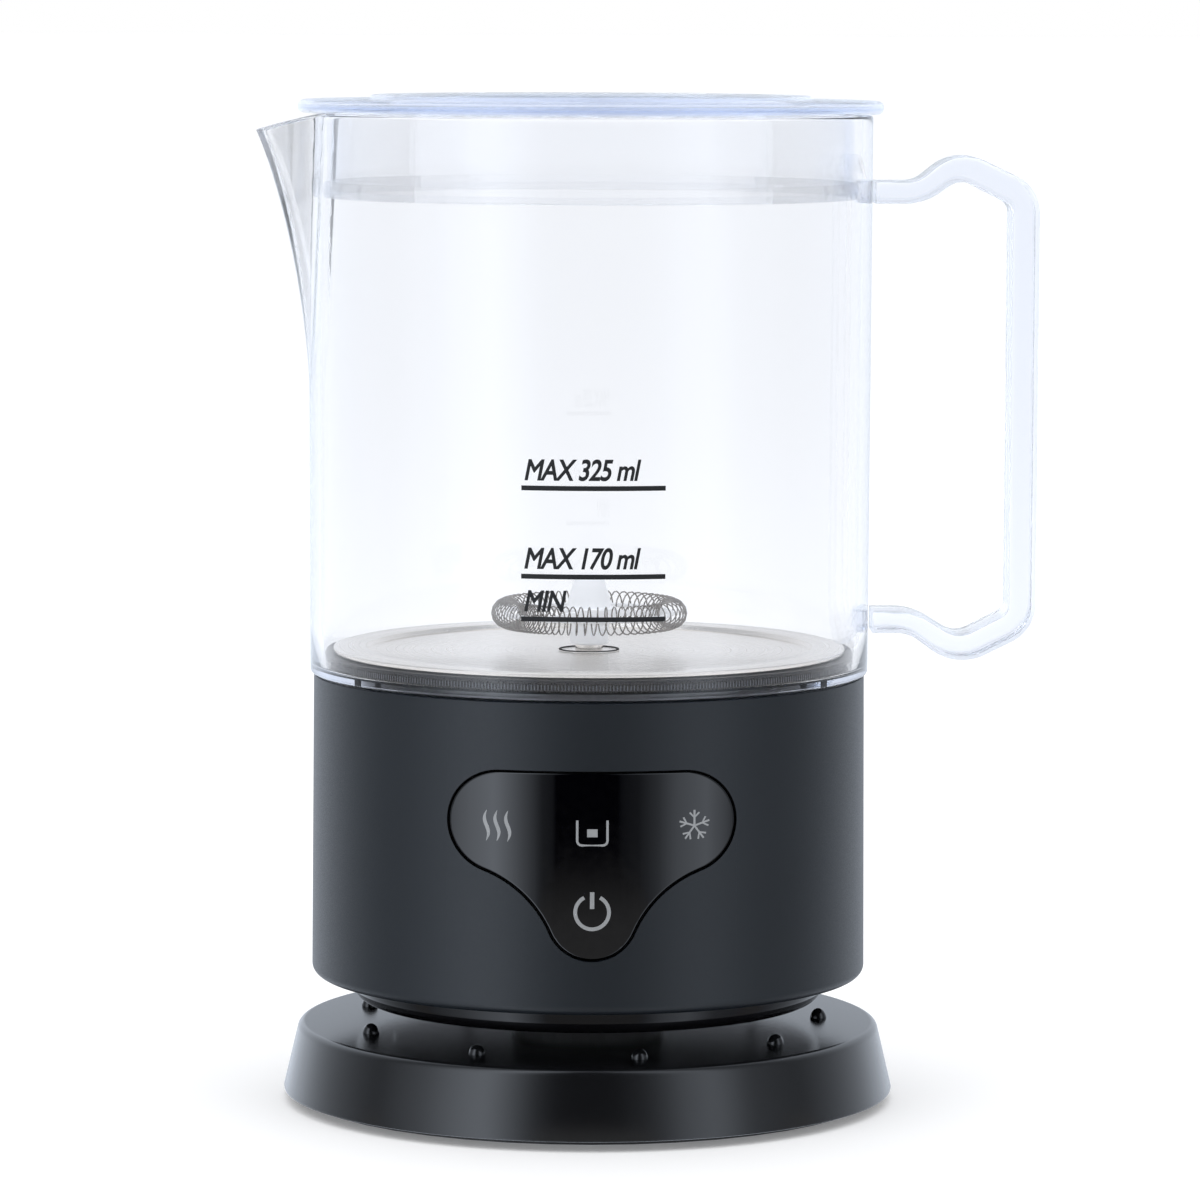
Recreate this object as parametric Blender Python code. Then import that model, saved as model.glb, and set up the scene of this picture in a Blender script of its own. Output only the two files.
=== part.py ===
"""Electric milk frother: clear jug on a heated housing, which docks on a round power base.

Every size is in millimetres and is turned into metres by MM. The Z axis is the axis of the
base, the housing, the motor and the whisk, and Z = 0 is the surface that the feet stand on.
"""
import math

import bmesh
import bpy
from mathutils import Matrix, Vector

MM = 0.001

# Fits
TOUCH = 0.3            # between pieces that touch
RUN = 0.4              # beside a piece that turns or lifts out
LAP = 0.6              # how far joined shapes run into each other
SIDES = 44             # facets round a large turned piece
MIDDLE_SIDES = 28      # facets round a connector, motor or bracket
SMALL_SIDES = 12       # facets round a screw, magnet or shaft

# Power base
FOOT_DROP = 1.0        # how far the rubber feet stand below the bottom plate
FOOT_R = 5.0
FOOT_INSET = 0.9       # how deep a foot sits in its pocket
FOOT_CIRCLE_R = 50.0
PLATE_T = 3.0
SKIRT_R = 62.2
SKIRT_GAP = 2.0        # from the standing surface up to the skirt's lower edge
BASE_TOP_R = 59.4
BASE_TOP_Z = 15.8
BASE_WALL = 2.2
BASE_EDGE = 2.4        # rounding of the top edge
BUMP_R = 1.7
BUMP_H = 2.0
BUMP_CIRCLE_R = 47.4
BUMP_COUNT = 9
BUMP_FIRST_DEG = 1.7
BASE_SCREW_CIRCLE_R = 50.0
GLAND_R = 3.9
GLAND_BORE_R = 2.6

# Docking connector
BOSS_R = 12.0
CONTACT_HOLE_R = BOSS_R + 4.0   # leaves room for the shroud round the boss
BOSS_H = 12.0
RING_SLOT_IN_R = 6.2
RING_SLOT_OUT_R = 7.8
PIN_R = 1.7
DOCK_GAP = 3.7         # from the base's top up to the housing's underside

# Housing
BODY_TOP_R = 56.0
BODY_FOOT_R = 56.4
BODY_H = 61.5
BODY_WALL = 2.2
BODY_EDGE = 2.0        # rounding of the lower edge
UNDERSIDE_H = 6.4      # how far the bottom cover stands below the housing
UNDERSIDE_TOP_R = 48.5
UNDERSIDE_LOW_R = 46.0
UNDERSIDE_STEP_R = 40.0
DECK_T = 2.0
DECK_HOLE_R = 43.0

# Control panel: two upper lobes and one lower lobe
LOBE_R = 9.9
LOBE_X = 18.1
LOBE_DROP = 0.3837 * BODY_H    # lobe centre below the housing's top
CHIN_R = 8.9
CHIN_DROP = BODY_H - 20.0      # the lower lobe keeps its height above the housing's foot
WAIST_R = 22.0
PANEL_T = 2.0
PANEL_GROOVE = 0.4

# Jug
JUG_FOOT_STEP = 0.7    # how far the jug stands proud of the housing
JUG_TOP_R = 57.0
JUG_H = 112.9
JUG_WALL = 2.2
JUG_FLOOR_T = 1.3
JUG_FLOOR_HOLE_R = 46.6
SPOUT_REACH = 10.8
SPOUT_H = 58.0
SPOUT_DROP = 3.1
SPOUT_HALF_DEG = 20.0
SPOUT_POWER = 1.75

# Heater stack in the jug's foot
CLAMP_T = 1.5
SEAL_T = 0.6
HEATER_RIM_R = 52.2
HEATER_BAND_IN_R = 45.5
HEATER_STEP = 0.9
HEATER_SHEET = 0.8
POST_R = 2.8
POST_H = 1.6

# Whisk
WHISK_R = 17.0
COIL_R = 2.7
COIL_WIRE_R = 0.3
COIL_TURNS = 27
CORE_R = 1.1
WHISK_RISE = 7.6       # ring centre above the heater's floor
HUB_R = 4.4
HUB_H = 15.0
SPOKE_COUNT = 3

# Motor
MOTOR_R = 13.5
MOTOR_H = 26.0
MOTOR_CAP_H = 3.1
SHAFT_R = 1.2
CARRIER_R = 12.0
CARRIER_T = 3.5
CARRIER_DROP = 6.4     # carrier's lower face below the plate's underside
BRACKET_DROP = 9.0     # bracket's floor below the deck
MAGNET_R = 3.0
MAGNET_H = 4.0
MAGNET_CIRCLE_R = 7.5

# Handle
HANDLE_W = 14.0
HANDLE_ARM_T = 4.5
HANDLE_GRIP_T = 5.6
HANDLE_TOP_DROP = 15.35    # upper arm's centre below the rim
HANDLE_LOW_RISE = 10.55    # lower arm's centre above the jug's foot
HANDLE_REACH = 30.65       # grip's centre out from the jug's wall

# Lid
LID_R = 59.1
LID_T = 2.6
LID_EDGE = 0.9
LID_PLATEAU_R = 45.0
LID_PLATEAU_H = 1.0
LID_SKIRT_H = 16.9
LID_SKIRT_WALL = 1.8
LID_SKIRT_GAP = 1.5
LID_SEAL_H = 3.1
LID_SEAL_GAP = 0.5

# Screw circles
JUG_SCREW_INSET = 3.9      # out from the hole in the jug's floor
BRACKET_SCREW_INSET = 2.0  # out from the hole in the deck
BODY_SCREW_INSET = 2.8     # in from the housing's wall

# Levels and radii that follow
PLATE_Z = FOOT_DROP
BASE_CEILING_Z = BASE_TOP_Z - BASE_WALL
UNDERSIDE_Z = BASE_TOP_Z + DOCK_GAP
BODY_Z = UNDERSIDE_Z + UNDERSIDE_H
BODY_TOP_Z = BODY_Z + BODY_H
DECK_Z = BODY_TOP_Z - DECK_T
BODY_IN_R = BODY_TOP_R - BODY_WALL
JUG_Z = BODY_TOP_Z + TOUCH
JUG_FOOT_R = BODY_TOP_R + JUG_FOOT_STEP
RIM_Z = JUG_Z + JUG_H
JUG_IN_R = JUG_FOOT_R - JUG_WALL
CLAMP_Z = JUG_Z + JUG_FLOOR_T + TOUCH
SEAL_Z = CLAMP_Z + CLAMP_T + TOUCH
HEATER_RIM_Z = SEAL_Z + SEAL_T + TOUCH
HEATER_FLOOR_Z = HEATER_RIM_Z + HEATER_SHEET - HEATER_STEP
HEATER_UNDER_Z = HEATER_FLOOR_Z - HEATER_SHEET
BRACKET_Z = DECK_Z - BRACKET_DROP
MOTOR_Z = BRACKET_Z - MOTOR_H - TOUCH
CARRIER_Z = HEATER_UNDER_Z - CARRIER_DROP
JUG_SCREW_CIRCLE_R = JUG_FLOOR_HOLE_R + JUG_SCREW_INSET
BRACKET_SCREW_CIRCLE_R = DECK_HOLE_R + BRACKET_SCREW_INSET
BODY_SCREW_CIRCLE_R = BODY_IN_R - BODY_SCREW_INSET
LID_Z = RIM_Z + TOUCH
LID_SKIRT_R = JUG_TOP_R - JUG_WALL - LID_SKIRT_GAP


def clear_scene():
    for old in list(bpy.data.objects):
        bpy.data.objects.remove(old)


def material(name, colour, roughness, metallic=0.0, transmission=0.0):
    made = bpy.data.materials.new(name)
    made.use_nodes = True
    shader = made.node_tree.nodes["Principled BSDF"]
    shader.inputs["Base Color"].default_value = (*colour, 1.0)
    shader.inputs["Roughness"].default_value = roughness
    shader.inputs["Metallic"].default_value = metallic
    shader.inputs["Transmission Weight"].default_value = transmission
    made.diffuse_color = (*colour, 1.0)
    return made


def body_empty(name, parent=None):
    """One empty for each body that moves, on the shared axis."""
    empty = bpy.data.objects.new(name, None)
    bpy.context.collection.objects.link(empty)
    empty.parent = parent
    return empty


def add_object(name, mesh, body, spot=(0.0, 0.0, 0.0)):
    made = bpy.data.objects.new(name, mesh)
    bpy.context.collection.objects.link(made)
    made.parent = body
    made.location = Vector(spot) * MM
    return made


def mesh_from(bm, name, finish=None):
    """Closes, scales to metres and shades a mesh."""
    bmesh.ops.remove_doubles(bm, verts=bm.verts, dist=0.001)
    bmesh.ops.recalc_face_normals(bm, faces=bm.faces)
    bmesh.ops.scale(bm, vec=(MM, MM, MM), verts=bm.verts)
    mesh = bpy.data.meshes.new(name)
    bm.to_mesh(mesh)
    bm.free()
    mesh.shade_smooth()
    mesh.set_sharp_from_angle(angle=math.radians(35))
    if finish:
        mesh.materials.append(finish)
    return mesh


def spun(bm, outline, sides=SIDES):
    """Turns an (r, z) outline about Z. It is open where it starts and ends on the axis."""
    corners = [bm.verts.new((r, 0.0, z)) for r, z in outline]
    edges = [bm.edges.new(pair) for pair in zip(corners, corners[1:])]
    if outline[0][0] > 0.0 or outline[-1][0] > 0.0:
        edges.append(bm.edges.new((corners[-1], corners[0])))
    bmesh.ops.spin(bm, geom=corners + edges, cent=(0, 0, 0), axis=(0, 0, 1),
                   angle=math.tau, steps=sides, use_merge=True)


def turned(name, outline, finish, body, sides=SIDES, spot=(0.0, 0.0, 0.0)):
    bm = bmesh.new()
    spun(bm, outline, sides)
    return add_object(name, mesh_from(bm, name, finish), body, spot)


def add_prism(bm, outline, low, high):
    """Extrudes a flat (x, z) outline along Y, from low to high."""
    face = bm.faces.new([bm.verts.new((x, low, z)) for x, z in outline])
    made = bmesh.ops.extrude_face_region(bm, geom=[face])
    bmesh.ops.translate(bm, vec=(0.0, high - low, 0.0),
                        verts=[v for v in made["geom"] if isinstance(v, bmesh.types.BMVert)])


def add_block(bm, low, high):
    size = Vector(high) - Vector(low)
    middle = (Vector(high) + Vector(low)) / 2
    bmesh.ops.create_cube(bm, size=1.0, matrix=Matrix.Translation(middle) @ Matrix.Diagonal((*size, 1)))


def add_rod(bm, radius, low, high, spot=(0.0, 0.0), sides=SMALL_SIDES):
    middle = Matrix.Translation((spot[0], spot[1], (low + high) / 2))
    bmesh.ops.create_cone(bm, cap_ends=True, segments=sides, radius1=radius, radius2=radius,
                          depth=high - low, matrix=middle)


def block(name, low, high, finish, body, edge=0.0):
    bm = bmesh.new()
    add_block(bm, low, high)
    if edge:
        bmesh.ops.bevel(bm, geom=bm.edges[:], offset=edge, segments=1, profile=0.5,
                        affect="EDGES", material=-1)
    return add_object(name, mesh_from(bm, name, finish), body)


def combine(target, operation, bm, name):
    """Cuts, joins or keeps what a hidden shape covers."""
    tool = add_object(name, mesh_from(bm, name), target.parent)
    tool.hide_render = True
    tool.display_type = "WIRE"
    boolean = target.modifiers.new(name, "BOOLEAN")
    boolean.operation = operation
    boolean.object = tool


def circle_spots(radius, count, first_deg):
    step = math.tau / count
    first = math.radians(first_deg)
    return [(radius * math.cos(first + step * k), radius * math.sin(first + step * k))
            for k in range(count)]


def arc(cx, cy, radius, start_deg, end_deg, steps):
    turn = (end_deg - start_deg) / steps
    angles = [math.radians(start_deg + turn * k) for k in range(steps + 1)]
    return [(cx + radius * math.cos(a), cy + radius * math.sin(a)) for a in angles]


def screws(name, count, circle_r, first_deg, head_z, head_r, head_h, shank_r, length, finish, body):
    """Like screws that drive upwards, heads down."""
    outline = [(0.0, 0.0), (head_r - 0.3, 0.0), (head_r, 0.3), (head_r, head_h),
               (shank_r, head_h), (shank_r, head_h + length - 0.8), (0.0, head_h + length)]
    shared = None
    for index, (x, y) in enumerate(circle_spots(circle_r, count, first_deg), start=1):
        node = f"{name}_{index}"
        if shared is None:
            shared = turned(node, outline, finish, body, SMALL_SIDES, (x, y, head_z)).data
        else:
            add_object(node, shared, body, (x, y, head_z))


# ---------------------------------------------------------------- power base

BASE_SCREW_HEAD_R = 2.8
BASE_SCREW_HEAD_H = 1.2
BASE_SCREW_R = 1.2
BASE_SCREW_LENGTH = 7.5


def make_base(body, paint):
    post_r = BASE_SCREW_R + 2.1
    gland_z = (PLATE_Z + PLATE_T + BASE_CEILING_Z) / 2
    edge = arc(BASE_TOP_R - BASE_EDGE, BASE_TOP_Z - BASE_EDGE, BASE_EDGE, 0, 90, 3)
    cover = turned("base_cover", [
        (SKIRT_R, SKIRT_GAP), *edge, (CONTACT_HOLE_R, BASE_TOP_Z),
        (CONTACT_HOLE_R, BASE_CEILING_Z), (BASE_TOP_R - BASE_WALL, BASE_CEILING_Z),
        (SKIRT_R - BASE_WALL, SKIRT_GAP)], paint["satin_black"], body)

    added = bmesh.new()
    for x, y in circle_spots(BUMP_CIRCLE_R, BUMP_COUNT, BUMP_FIRST_DEG):
        dome = bmesh.ops.create_uvsphere(added, u_segments=8, v_segments=4, radius=BUMP_R)["verts"]
        bmesh.ops.scale(added, vec=(1, 1, BUMP_H / BUMP_R), verts=dome)
        bmesh.ops.translate(added, vec=(x, y, BASE_TOP_Z), verts=dome)
    for spot in circle_spots(BASE_SCREW_CIRCLE_R, 3, 30):
        add_rod(added, post_r, PLATE_Z + PLATE_T + TOUCH, BASE_CEILING_Z + LAP, spot)
    combine(cover, "UNION", added, "base_cover_added")

    holes = bmesh.new()
    for spot in circle_spots(BASE_SCREW_CIRCLE_R, 3, 30):
        add_rod(holes, BASE_SCREW_R + TOUCH, PLATE_Z, BASE_CEILING_Z - LAP, spot)
    gland_hole = bmesh.ops.create_cone(holes, cap_ends=True, segments=SMALL_SIDES, depth=12.0,
                                       radius1=GLAND_R + TOUCH, radius2=GLAND_R + TOUCH)["verts"]
    bmesh.ops.rotate(holes, cent=(0, 0, 0), matrix=Matrix.Rotation(math.pi / 2, 3, "X"),
                     verts=gland_hole)
    bmesh.ops.translate(holes, vec=(0, SKIRT_R - BASE_WALL, gland_z), verts=gland_hole)
    combine(cover, "DIFFERENCE", holes, "base_cover_holes")

    plate_r = SKIRT_R - BASE_WALL - 3 * TOUCH
    plate = turned("base_bottom_plate", [
        (0.0, PLATE_Z), (plate_r, PLATE_Z), (plate_r - 0.4, PLATE_Z + PLATE_T),
        (0.0, PLATE_Z + PLATE_T)], paint["matte_black"], body)
    pockets = bmesh.new()
    for spot in circle_spots(FOOT_CIRCLE_R, 4, 45):
        add_rod(pockets, FOOT_R + TOUCH, PLATE_Z - 1.0, PLATE_Z + FOOT_INSET + TOUCH, spot)
    for spot in circle_spots(BASE_SCREW_CIRCLE_R, 3, 30):
        bore = BASE_SCREW_HEAD_R + TOUCH
        seat = PLATE_Z + BASE_SCREW_HEAD_H + 2 * TOUCH
        profile = [(0.0, PLATE_Z - 1.0), (bore, PLATE_Z - 1.0), (bore, seat),
                   (BASE_SCREW_R + TOUCH, seat), (BASE_SCREW_R + TOUCH, PLATE_Z + PLATE_T + 1.0),
                   (0.0, PLATE_Z + PLATE_T + 1.0)]
        before = set(pockets.verts)
        spun(pockets, profile, SMALL_SIDES)
        bmesh.ops.translate(pockets, vec=(*spot, 0.0), verts=list(set(pockets.verts) - before))
    combine(plate, "DIFFERENCE", pockets, "base_plate_pockets")

    foot_mesh = None
    foot_outline = [(0.0, 0.0), (FOOT_R - 0.4, 0.0), (FOOT_R, 0.4),
                    (FOOT_R, FOOT_DROP + FOOT_INSET), (0.0, FOOT_DROP + FOOT_INSET)]
    for index, (x, y) in enumerate(circle_spots(FOOT_CIRCLE_R, 4, 45), start=1):
        node = f"base_foot_{index}"
        if foot_mesh is None:
            foot_mesh = turned(node, foot_outline, paint["rubber"], body, SMALL_SIDES, (x, y, 0)).data
        else:
            add_object(node, foot_mesh, body, (x, y, 0))
    screws("base_screw", 3, BASE_SCREW_CIRCLE_R, 30, PLATE_Z + TOUCH, BASE_SCREW_HEAD_R,
           BASE_SCREW_HEAD_H, BASE_SCREW_R, BASE_SCREW_LENGTH, paint["zinc"], body)

    gland_length = 6.5
    gland = turned("cord_gland", [
        (GLAND_BORE_R, 0.0), (GLAND_R, 0.0), (GLAND_R, gland_length - 0.6),
        (GLAND_R - 0.6, gland_length), (GLAND_BORE_R, gland_length)],
        paint["rubber"], body, SMALL_SIDES)
    gland.rotation_euler[0] = -math.pi / 2
    gland.location = Vector((0.0, SKIRT_R - BASE_WALL - 5.0, gland_z)) * MM

    make_dock(body, paint)


def make_dock(body, paint):
    """Round connector that stands up through the cover, so the unit docks at any angle."""
    flange_top = BASE_CEILING_Z - TOUCH
    boss_top = BASE_TOP_Z + BOSS_H
    slot_floor = BASE_TOP_Z + 1.7
    neck_r = CONTACT_HOLE_R - RUN
    turned("base_connector", [
        (0.0, flange_top - 2.2), (neck_r + 4.0, flange_top - 2.2), (neck_r + 4.0, flange_top),
        (neck_r, flange_top), (neck_r, BASE_TOP_Z), (BOSS_R, BASE_TOP_Z), (BOSS_R, boss_top - 1.0),
        (BOSS_R - 1.0, boss_top), (RING_SLOT_OUT_R, boss_top), (RING_SLOT_OUT_R, slot_floor),
        (RING_SLOT_IN_R, slot_floor), (RING_SLOT_IN_R, boss_top), (PIN_R + RUN, boss_top),
        (PIN_R + RUN, BASE_TOP_Z - 1.0), (0.0, BASE_TOP_Z - 1.0)], paint["matte_black"], body, MIDDLE_SIDES)
    turned("base_contact_ring", [
        (RING_SLOT_IN_R + TOUCH, slot_floor + TOUCH), (RING_SLOT_OUT_R - TOUCH, slot_floor + TOUCH),
        (RING_SLOT_OUT_R - TOUCH, slot_floor + 3.5), (RING_SLOT_IN_R + TOUCH, slot_floor + 3.5)],
        paint["brass"], body, MIDDLE_SIDES)


def make_shroud(body, paint):
    """Splash shroud round the connector; it bears on the unit's socket and turns with it."""
    low = BASE_TOP_Z + TOUCH
    high = UNDERSIDE_Z
    turned("connector_shroud", [
        (BOSS_R + RUN, low), (CONTACT_HOLE_R - 0.8, low), (CONTACT_HOLE_R - 0.8, high - 0.5),
        (CONTACT_HOLE_R - 1.3, high), (BOSS_R + RUN, high)], paint["grey_plastic"], body, MIDDLE_SIDES)


# ---------------------------------------------------------------- housing and underside

BODY_SCREW_HEAD_R = 1.8
BODY_SCREW_HEAD_H = 1.0
BODY_SCREW_R = 0.9
FLANGE_T = 2.4
UNDERSIDE_WALL = 2.0
BOARD_RISE = 18.5      # control board above the underside
BOARD_POST_CIRCLE_R = 36.0


def panel_outline(grow):
    """Two upper lobes joined by a straight top, running in S curves into the lower lobe."""
    lobe = Vector((LOBE_X, BODY_TOP_Z - LOBE_DROP))
    chin = Vector((0.0, BODY_TOP_Z - CHIN_DROP))
    across = lobe - chin
    span = across.length
    far = LOBE_R + WAIST_R
    near = CHIN_R + WAIST_R
    along = (near * near - far * far + span * span) / (2 * span)
    off = math.sqrt(max(near * near - along * along, 0.0))
    unit = across / span
    waist = chin + unit * along + Vector((unit.y, -unit.x)) * off
    to_lobe = math.degrees(math.atan2(lobe.y - waist.y, lobe.x - waist.x))
    to_chin = math.degrees(math.atan2(chin.y - waist.y, chin.x - waist.x))
    right = [
        *arc(*chin, CHIN_R + grow, -90, to_chin - 180, 5),
        *arc(*waist, WAIST_R - grow, to_chin, to_lobe, 5)[1:-1],
        *arc(*lobe, LOBE_R + grow, to_lobe - 180, 90, 10)]
    left = [(-x, z) for x, z in reversed(right[1:])]
    return right + left


def panel_tool(grow):
    bm = bmesh.new()
    add_prism(bm, panel_outline(grow), -BODY_FOOT_R - 5.0, -BODY_IN_R + 22.0)
    return bm


def panel_band(name, outer_r, thickness, grow, finish, body):
    """A piece that follows the housing's curve, with the panel's outline."""
    low = BODY_TOP_Z - CHIN_DROP - CHIN_R - 6.0
    high = BODY_TOP_Z - LOBE_DROP + LOBE_R + 6.0
    band = turned(name, [(outer_r - thickness, low), (outer_r, low), (outer_r, high),
                         (outer_r - thickness, high)], finish, body)
    combine(band, "INTERSECT", panel_tool(grow), name + "_outline")
    return band


def make_housing(body, paint):
    foot_in_r = BODY_FOOT_R - BODY_WALL
    edge = arc(BODY_FOOT_R - BODY_EDGE, BODY_Z + BODY_EDGE, BODY_EDGE, -90, 0, 3)
    housing = turned("housing", [
        (foot_in_r - 0.1, BODY_Z), *edge, (BODY_TOP_R, BODY_TOP_Z - 0.3),
        (BODY_TOP_R - 0.3, BODY_TOP_Z), (DECK_HOLE_R, BODY_TOP_Z), (DECK_HOLE_R, DECK_Z),
        (BODY_IN_R, DECK_Z), (foot_in_r - 0.1, BODY_Z + FLANGE_T)], paint["charcoal"], body)
    posts = bmesh.new()
    post_z = BODY_Z + FLANGE_T + 2 * TOUCH
    for x, y in circle_spots(1.0, 3, 90):
        before = set(posts.verts)
        add_block(posts, (BODY_SCREW_CIRCLE_R - 2.2, -2.4, post_z), (BODY_IN_R + 1.0, 2.4, post_z + 9.0))
        bmesh.ops.rotate(posts, cent=(0, 0, 0), verts=list(set(posts.verts) - before),
                         matrix=Matrix.Rotation(math.atan2(y, x), 3, "Z"))
    combine(housing, "UNION", posts, "housing_posts")
    holes = bmesh.new()
    for spot in circle_spots(BODY_SCREW_CIRCLE_R, 3, 90):
        add_rod(holes, BODY_SCREW_R + TOUCH, post_z - 1.0, post_z + 8.0, spot, 12)
    for spot in circle_spots(JUG_SCREW_CIRCLE_R, 3, 90):
        add_rod(holes, JUG_SCREW_R + TOUCH, DECK_Z - 1.0, BODY_TOP_Z + 1.0, spot, 12)
    for spot in circle_spots(BRACKET_SCREW_CIRCLE_R, 3, 30):
        add_rod(holes, BRACKET_SCREW_R + TOUCH, DECK_Z - 1.0, BODY_TOP_Z + 1.0, spot, 12)
    combine(housing, "DIFFERENCE", holes, "housing_holes")
    combine(housing, "DIFFERENCE", panel_tool(PANEL_GROOVE), "housing_window")

    flange_r = foot_in_r - 2 * TOUCH
    flange_z = BODY_Z + TOUCH
    step_z = UNDERSIDE_Z + 1.2
    cover = turned("bottom_cover", [
        (flange_r, flange_z), (flange_r, flange_z + FLANGE_T - TOUCH),
        (UNDERSIDE_TOP_R - UNDERSIDE_WALL, flange_z + FLANGE_T - TOUCH),
        (UNDERSIDE_LOW_R - UNDERSIDE_WALL, UNDERSIDE_Z + 3.2),
        (CONTACT_HOLE_R, UNDERSIDE_Z + 3.2), (CONTACT_HOLE_R, UNDERSIDE_Z + TOUCH),
        (UNDERSIDE_STEP_R, UNDERSIDE_Z + TOUCH), (UNDERSIDE_STEP_R, step_z),
        (UNDERSIDE_LOW_R, step_z), (UNDERSIDE_TOP_R, flange_z)], paint["gloss_black"], body)
    stands = bmesh.new()
    for spot in circle_spots(BOARD_POST_CIRCLE_R, 3, 60):
        add_rod(stands, 3.0, UNDERSIDE_Z + 3.2 - LAP, UNDERSIDE_Z + BOARD_RISE - TOUCH, spot)
    combine(cover, "UNION", stands, "bottom_cover_posts")
    seats = bmesh.new()
    for spot in circle_spots(BODY_SCREW_CIRCLE_R, 3, 90):
        seat = flange_z + BODY_SCREW_HEAD_H + TOUCH
        profile = [(0.0, flange_z - 1.0), (BODY_SCREW_HEAD_R + TOUCH, flange_z - 1.0),
                   (BODY_SCREW_HEAD_R + TOUCH, seat), (BODY_SCREW_R + TOUCH, seat),
                   (BODY_SCREW_R + TOUCH, flange_z + 4.0), (0.0, flange_z + 4.0)]
        before = set(seats.verts)
        spun(seats, profile, 12)
        bmesh.ops.translate(seats, vec=(*spot, 0.0), verts=list(set(seats.verts) - before))
    combine(cover, "DIFFERENCE", seats, "bottom_cover_seats")
    screws("body_screw", 3, BODY_SCREW_CIRCLE_R, 90, flange_z + 0.1, BODY_SCREW_HEAD_R,
           BODY_SCREW_HEAD_H - 0.1, BODY_SCREW_R, 7.0, paint["zinc"], body)
    make_socket(body, paint)


def make_socket(body, paint):
    """Socket in the underside that drops over the base's connector."""
    low = UNDERSIDE_Z + TOUCH
    ceiling = BASE_TOP_Z + BOSS_H + 1.0
    flange = UNDERSIDE_Z + 3.2 + TOUCH
    out_r = CONTACT_HOLE_R - TOUCH
    turned("socket", [
        (0.0, ceiling), (BOSS_R + 2 * RUN, ceiling), (BOSS_R + 2 * RUN, low), (out_r, low),
        (out_r, flange), (out_r + 3.5, flange), (out_r + 3.5, flange + 2.0), (out_r, flange + 2.0),
        (out_r, ceiling + 2.0), (0.0, ceiling + 2.0)], paint["matte_black"], body, MIDDLE_SIDES)
    turned("socket_pin", [
        (0.0, BASE_TOP_Z + 1.0), (PIN_R - 0.6, BASE_TOP_Z + 1.0), (PIN_R, BASE_TOP_Z + 1.8),
        (PIN_R, ceiling - TOUCH), (0.0, ceiling - TOUCH)], paint["brass"], body, SMALL_SIDES)
    ring_low = BASE_TOP_Z + 1.7 + 3.5 + RUN
    turned("socket_contact", [
        (RING_SLOT_IN_R + RUN, ring_low), (RING_SLOT_OUT_R - RUN, ring_low),
        (RING_SLOT_OUT_R - RUN, ceiling - TOUCH), (RING_SLOT_IN_R + RUN, ceiling - TOUCH)],
        paint["brass"], body, MIDDLE_SIDES)


# ---------------------------------------------------------------- controls

BOARD_R = 42.0
BOARD_HOLE_R = MOTOR_R + 3.0
BOARD_T = 1.6
RELAY_H = 12.0
CAPACITOR_H = 13.0


def make_controls(body, paint):
    panel_band("panel_cover", BODY_TOP_R + 0.1, PANEL_T, 0.0, paint["gloss_black"], body)
    gasket_r = BODY_IN_R - TOUCH
    gasket = panel_band("panel_gasket", gasket_r, 0.8, 2.2, paint["rubber"], body)
    combine(gasket, "DIFFERENCE", panel_tool(-1.6), "panel_gasket_window")
    guide_r = gasket_r - 0.8 - TOUCH
    panel_band("light_guide", guide_r, 1.8, 0.6, paint["clear_plastic"], body)

    board_half_w = 17.0
    board_y = -math.sqrt((guide_r - 1.8 - TOUCH) ** 2 - board_half_w ** 2)
    middle_z = BODY_TOP_Z - LOBE_DROP - 5.0
    block("touch_board", (-board_half_w, board_y, middle_z - 13.0),
          (board_half_w, board_y + BOARD_T, middle_z + 13.0), paint["circuit_board"], body)

    board_z = UNDERSIDE_Z + BOARD_RISE
    turned("control_board", [
        (BOARD_HOLE_R, board_z), (BOARD_R, board_z), (BOARD_R, board_z + BOARD_T),
        (BOARD_HOLE_R, board_z + BOARD_T)], paint["circuit_board"], body, MIDDLE_SIDES)
    top = board_z + BOARD_T + TOUCH
    block("relay", (19.5, 8.0, top), (34.5, 20.0, top + RELAY_H), paint["relay_blue"], body, 0.5)
    turned("capacitor", [
        (0.0, top), (5.0, top), (5.0, top + CAPACITOR_H - 0.6), (4.4, top + CAPACITOR_H),
        (0.0, top + CAPACITOR_H)], paint["matte_black"], body, SMALL_SIDES, (-28.0, 12.0, 0.0))
    block("terminal_block", (-12.0, 24.0, top), (12.0, 33.0, top + 9.0), paint["grey_plastic"],
          body, 0.5)


# ---------------------------------------------------------------- motor and heater

BRACKET_SCREW_R = 0.9
JUG_SCREW_R = 0.9
BRACKET_T = 2.2


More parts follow.
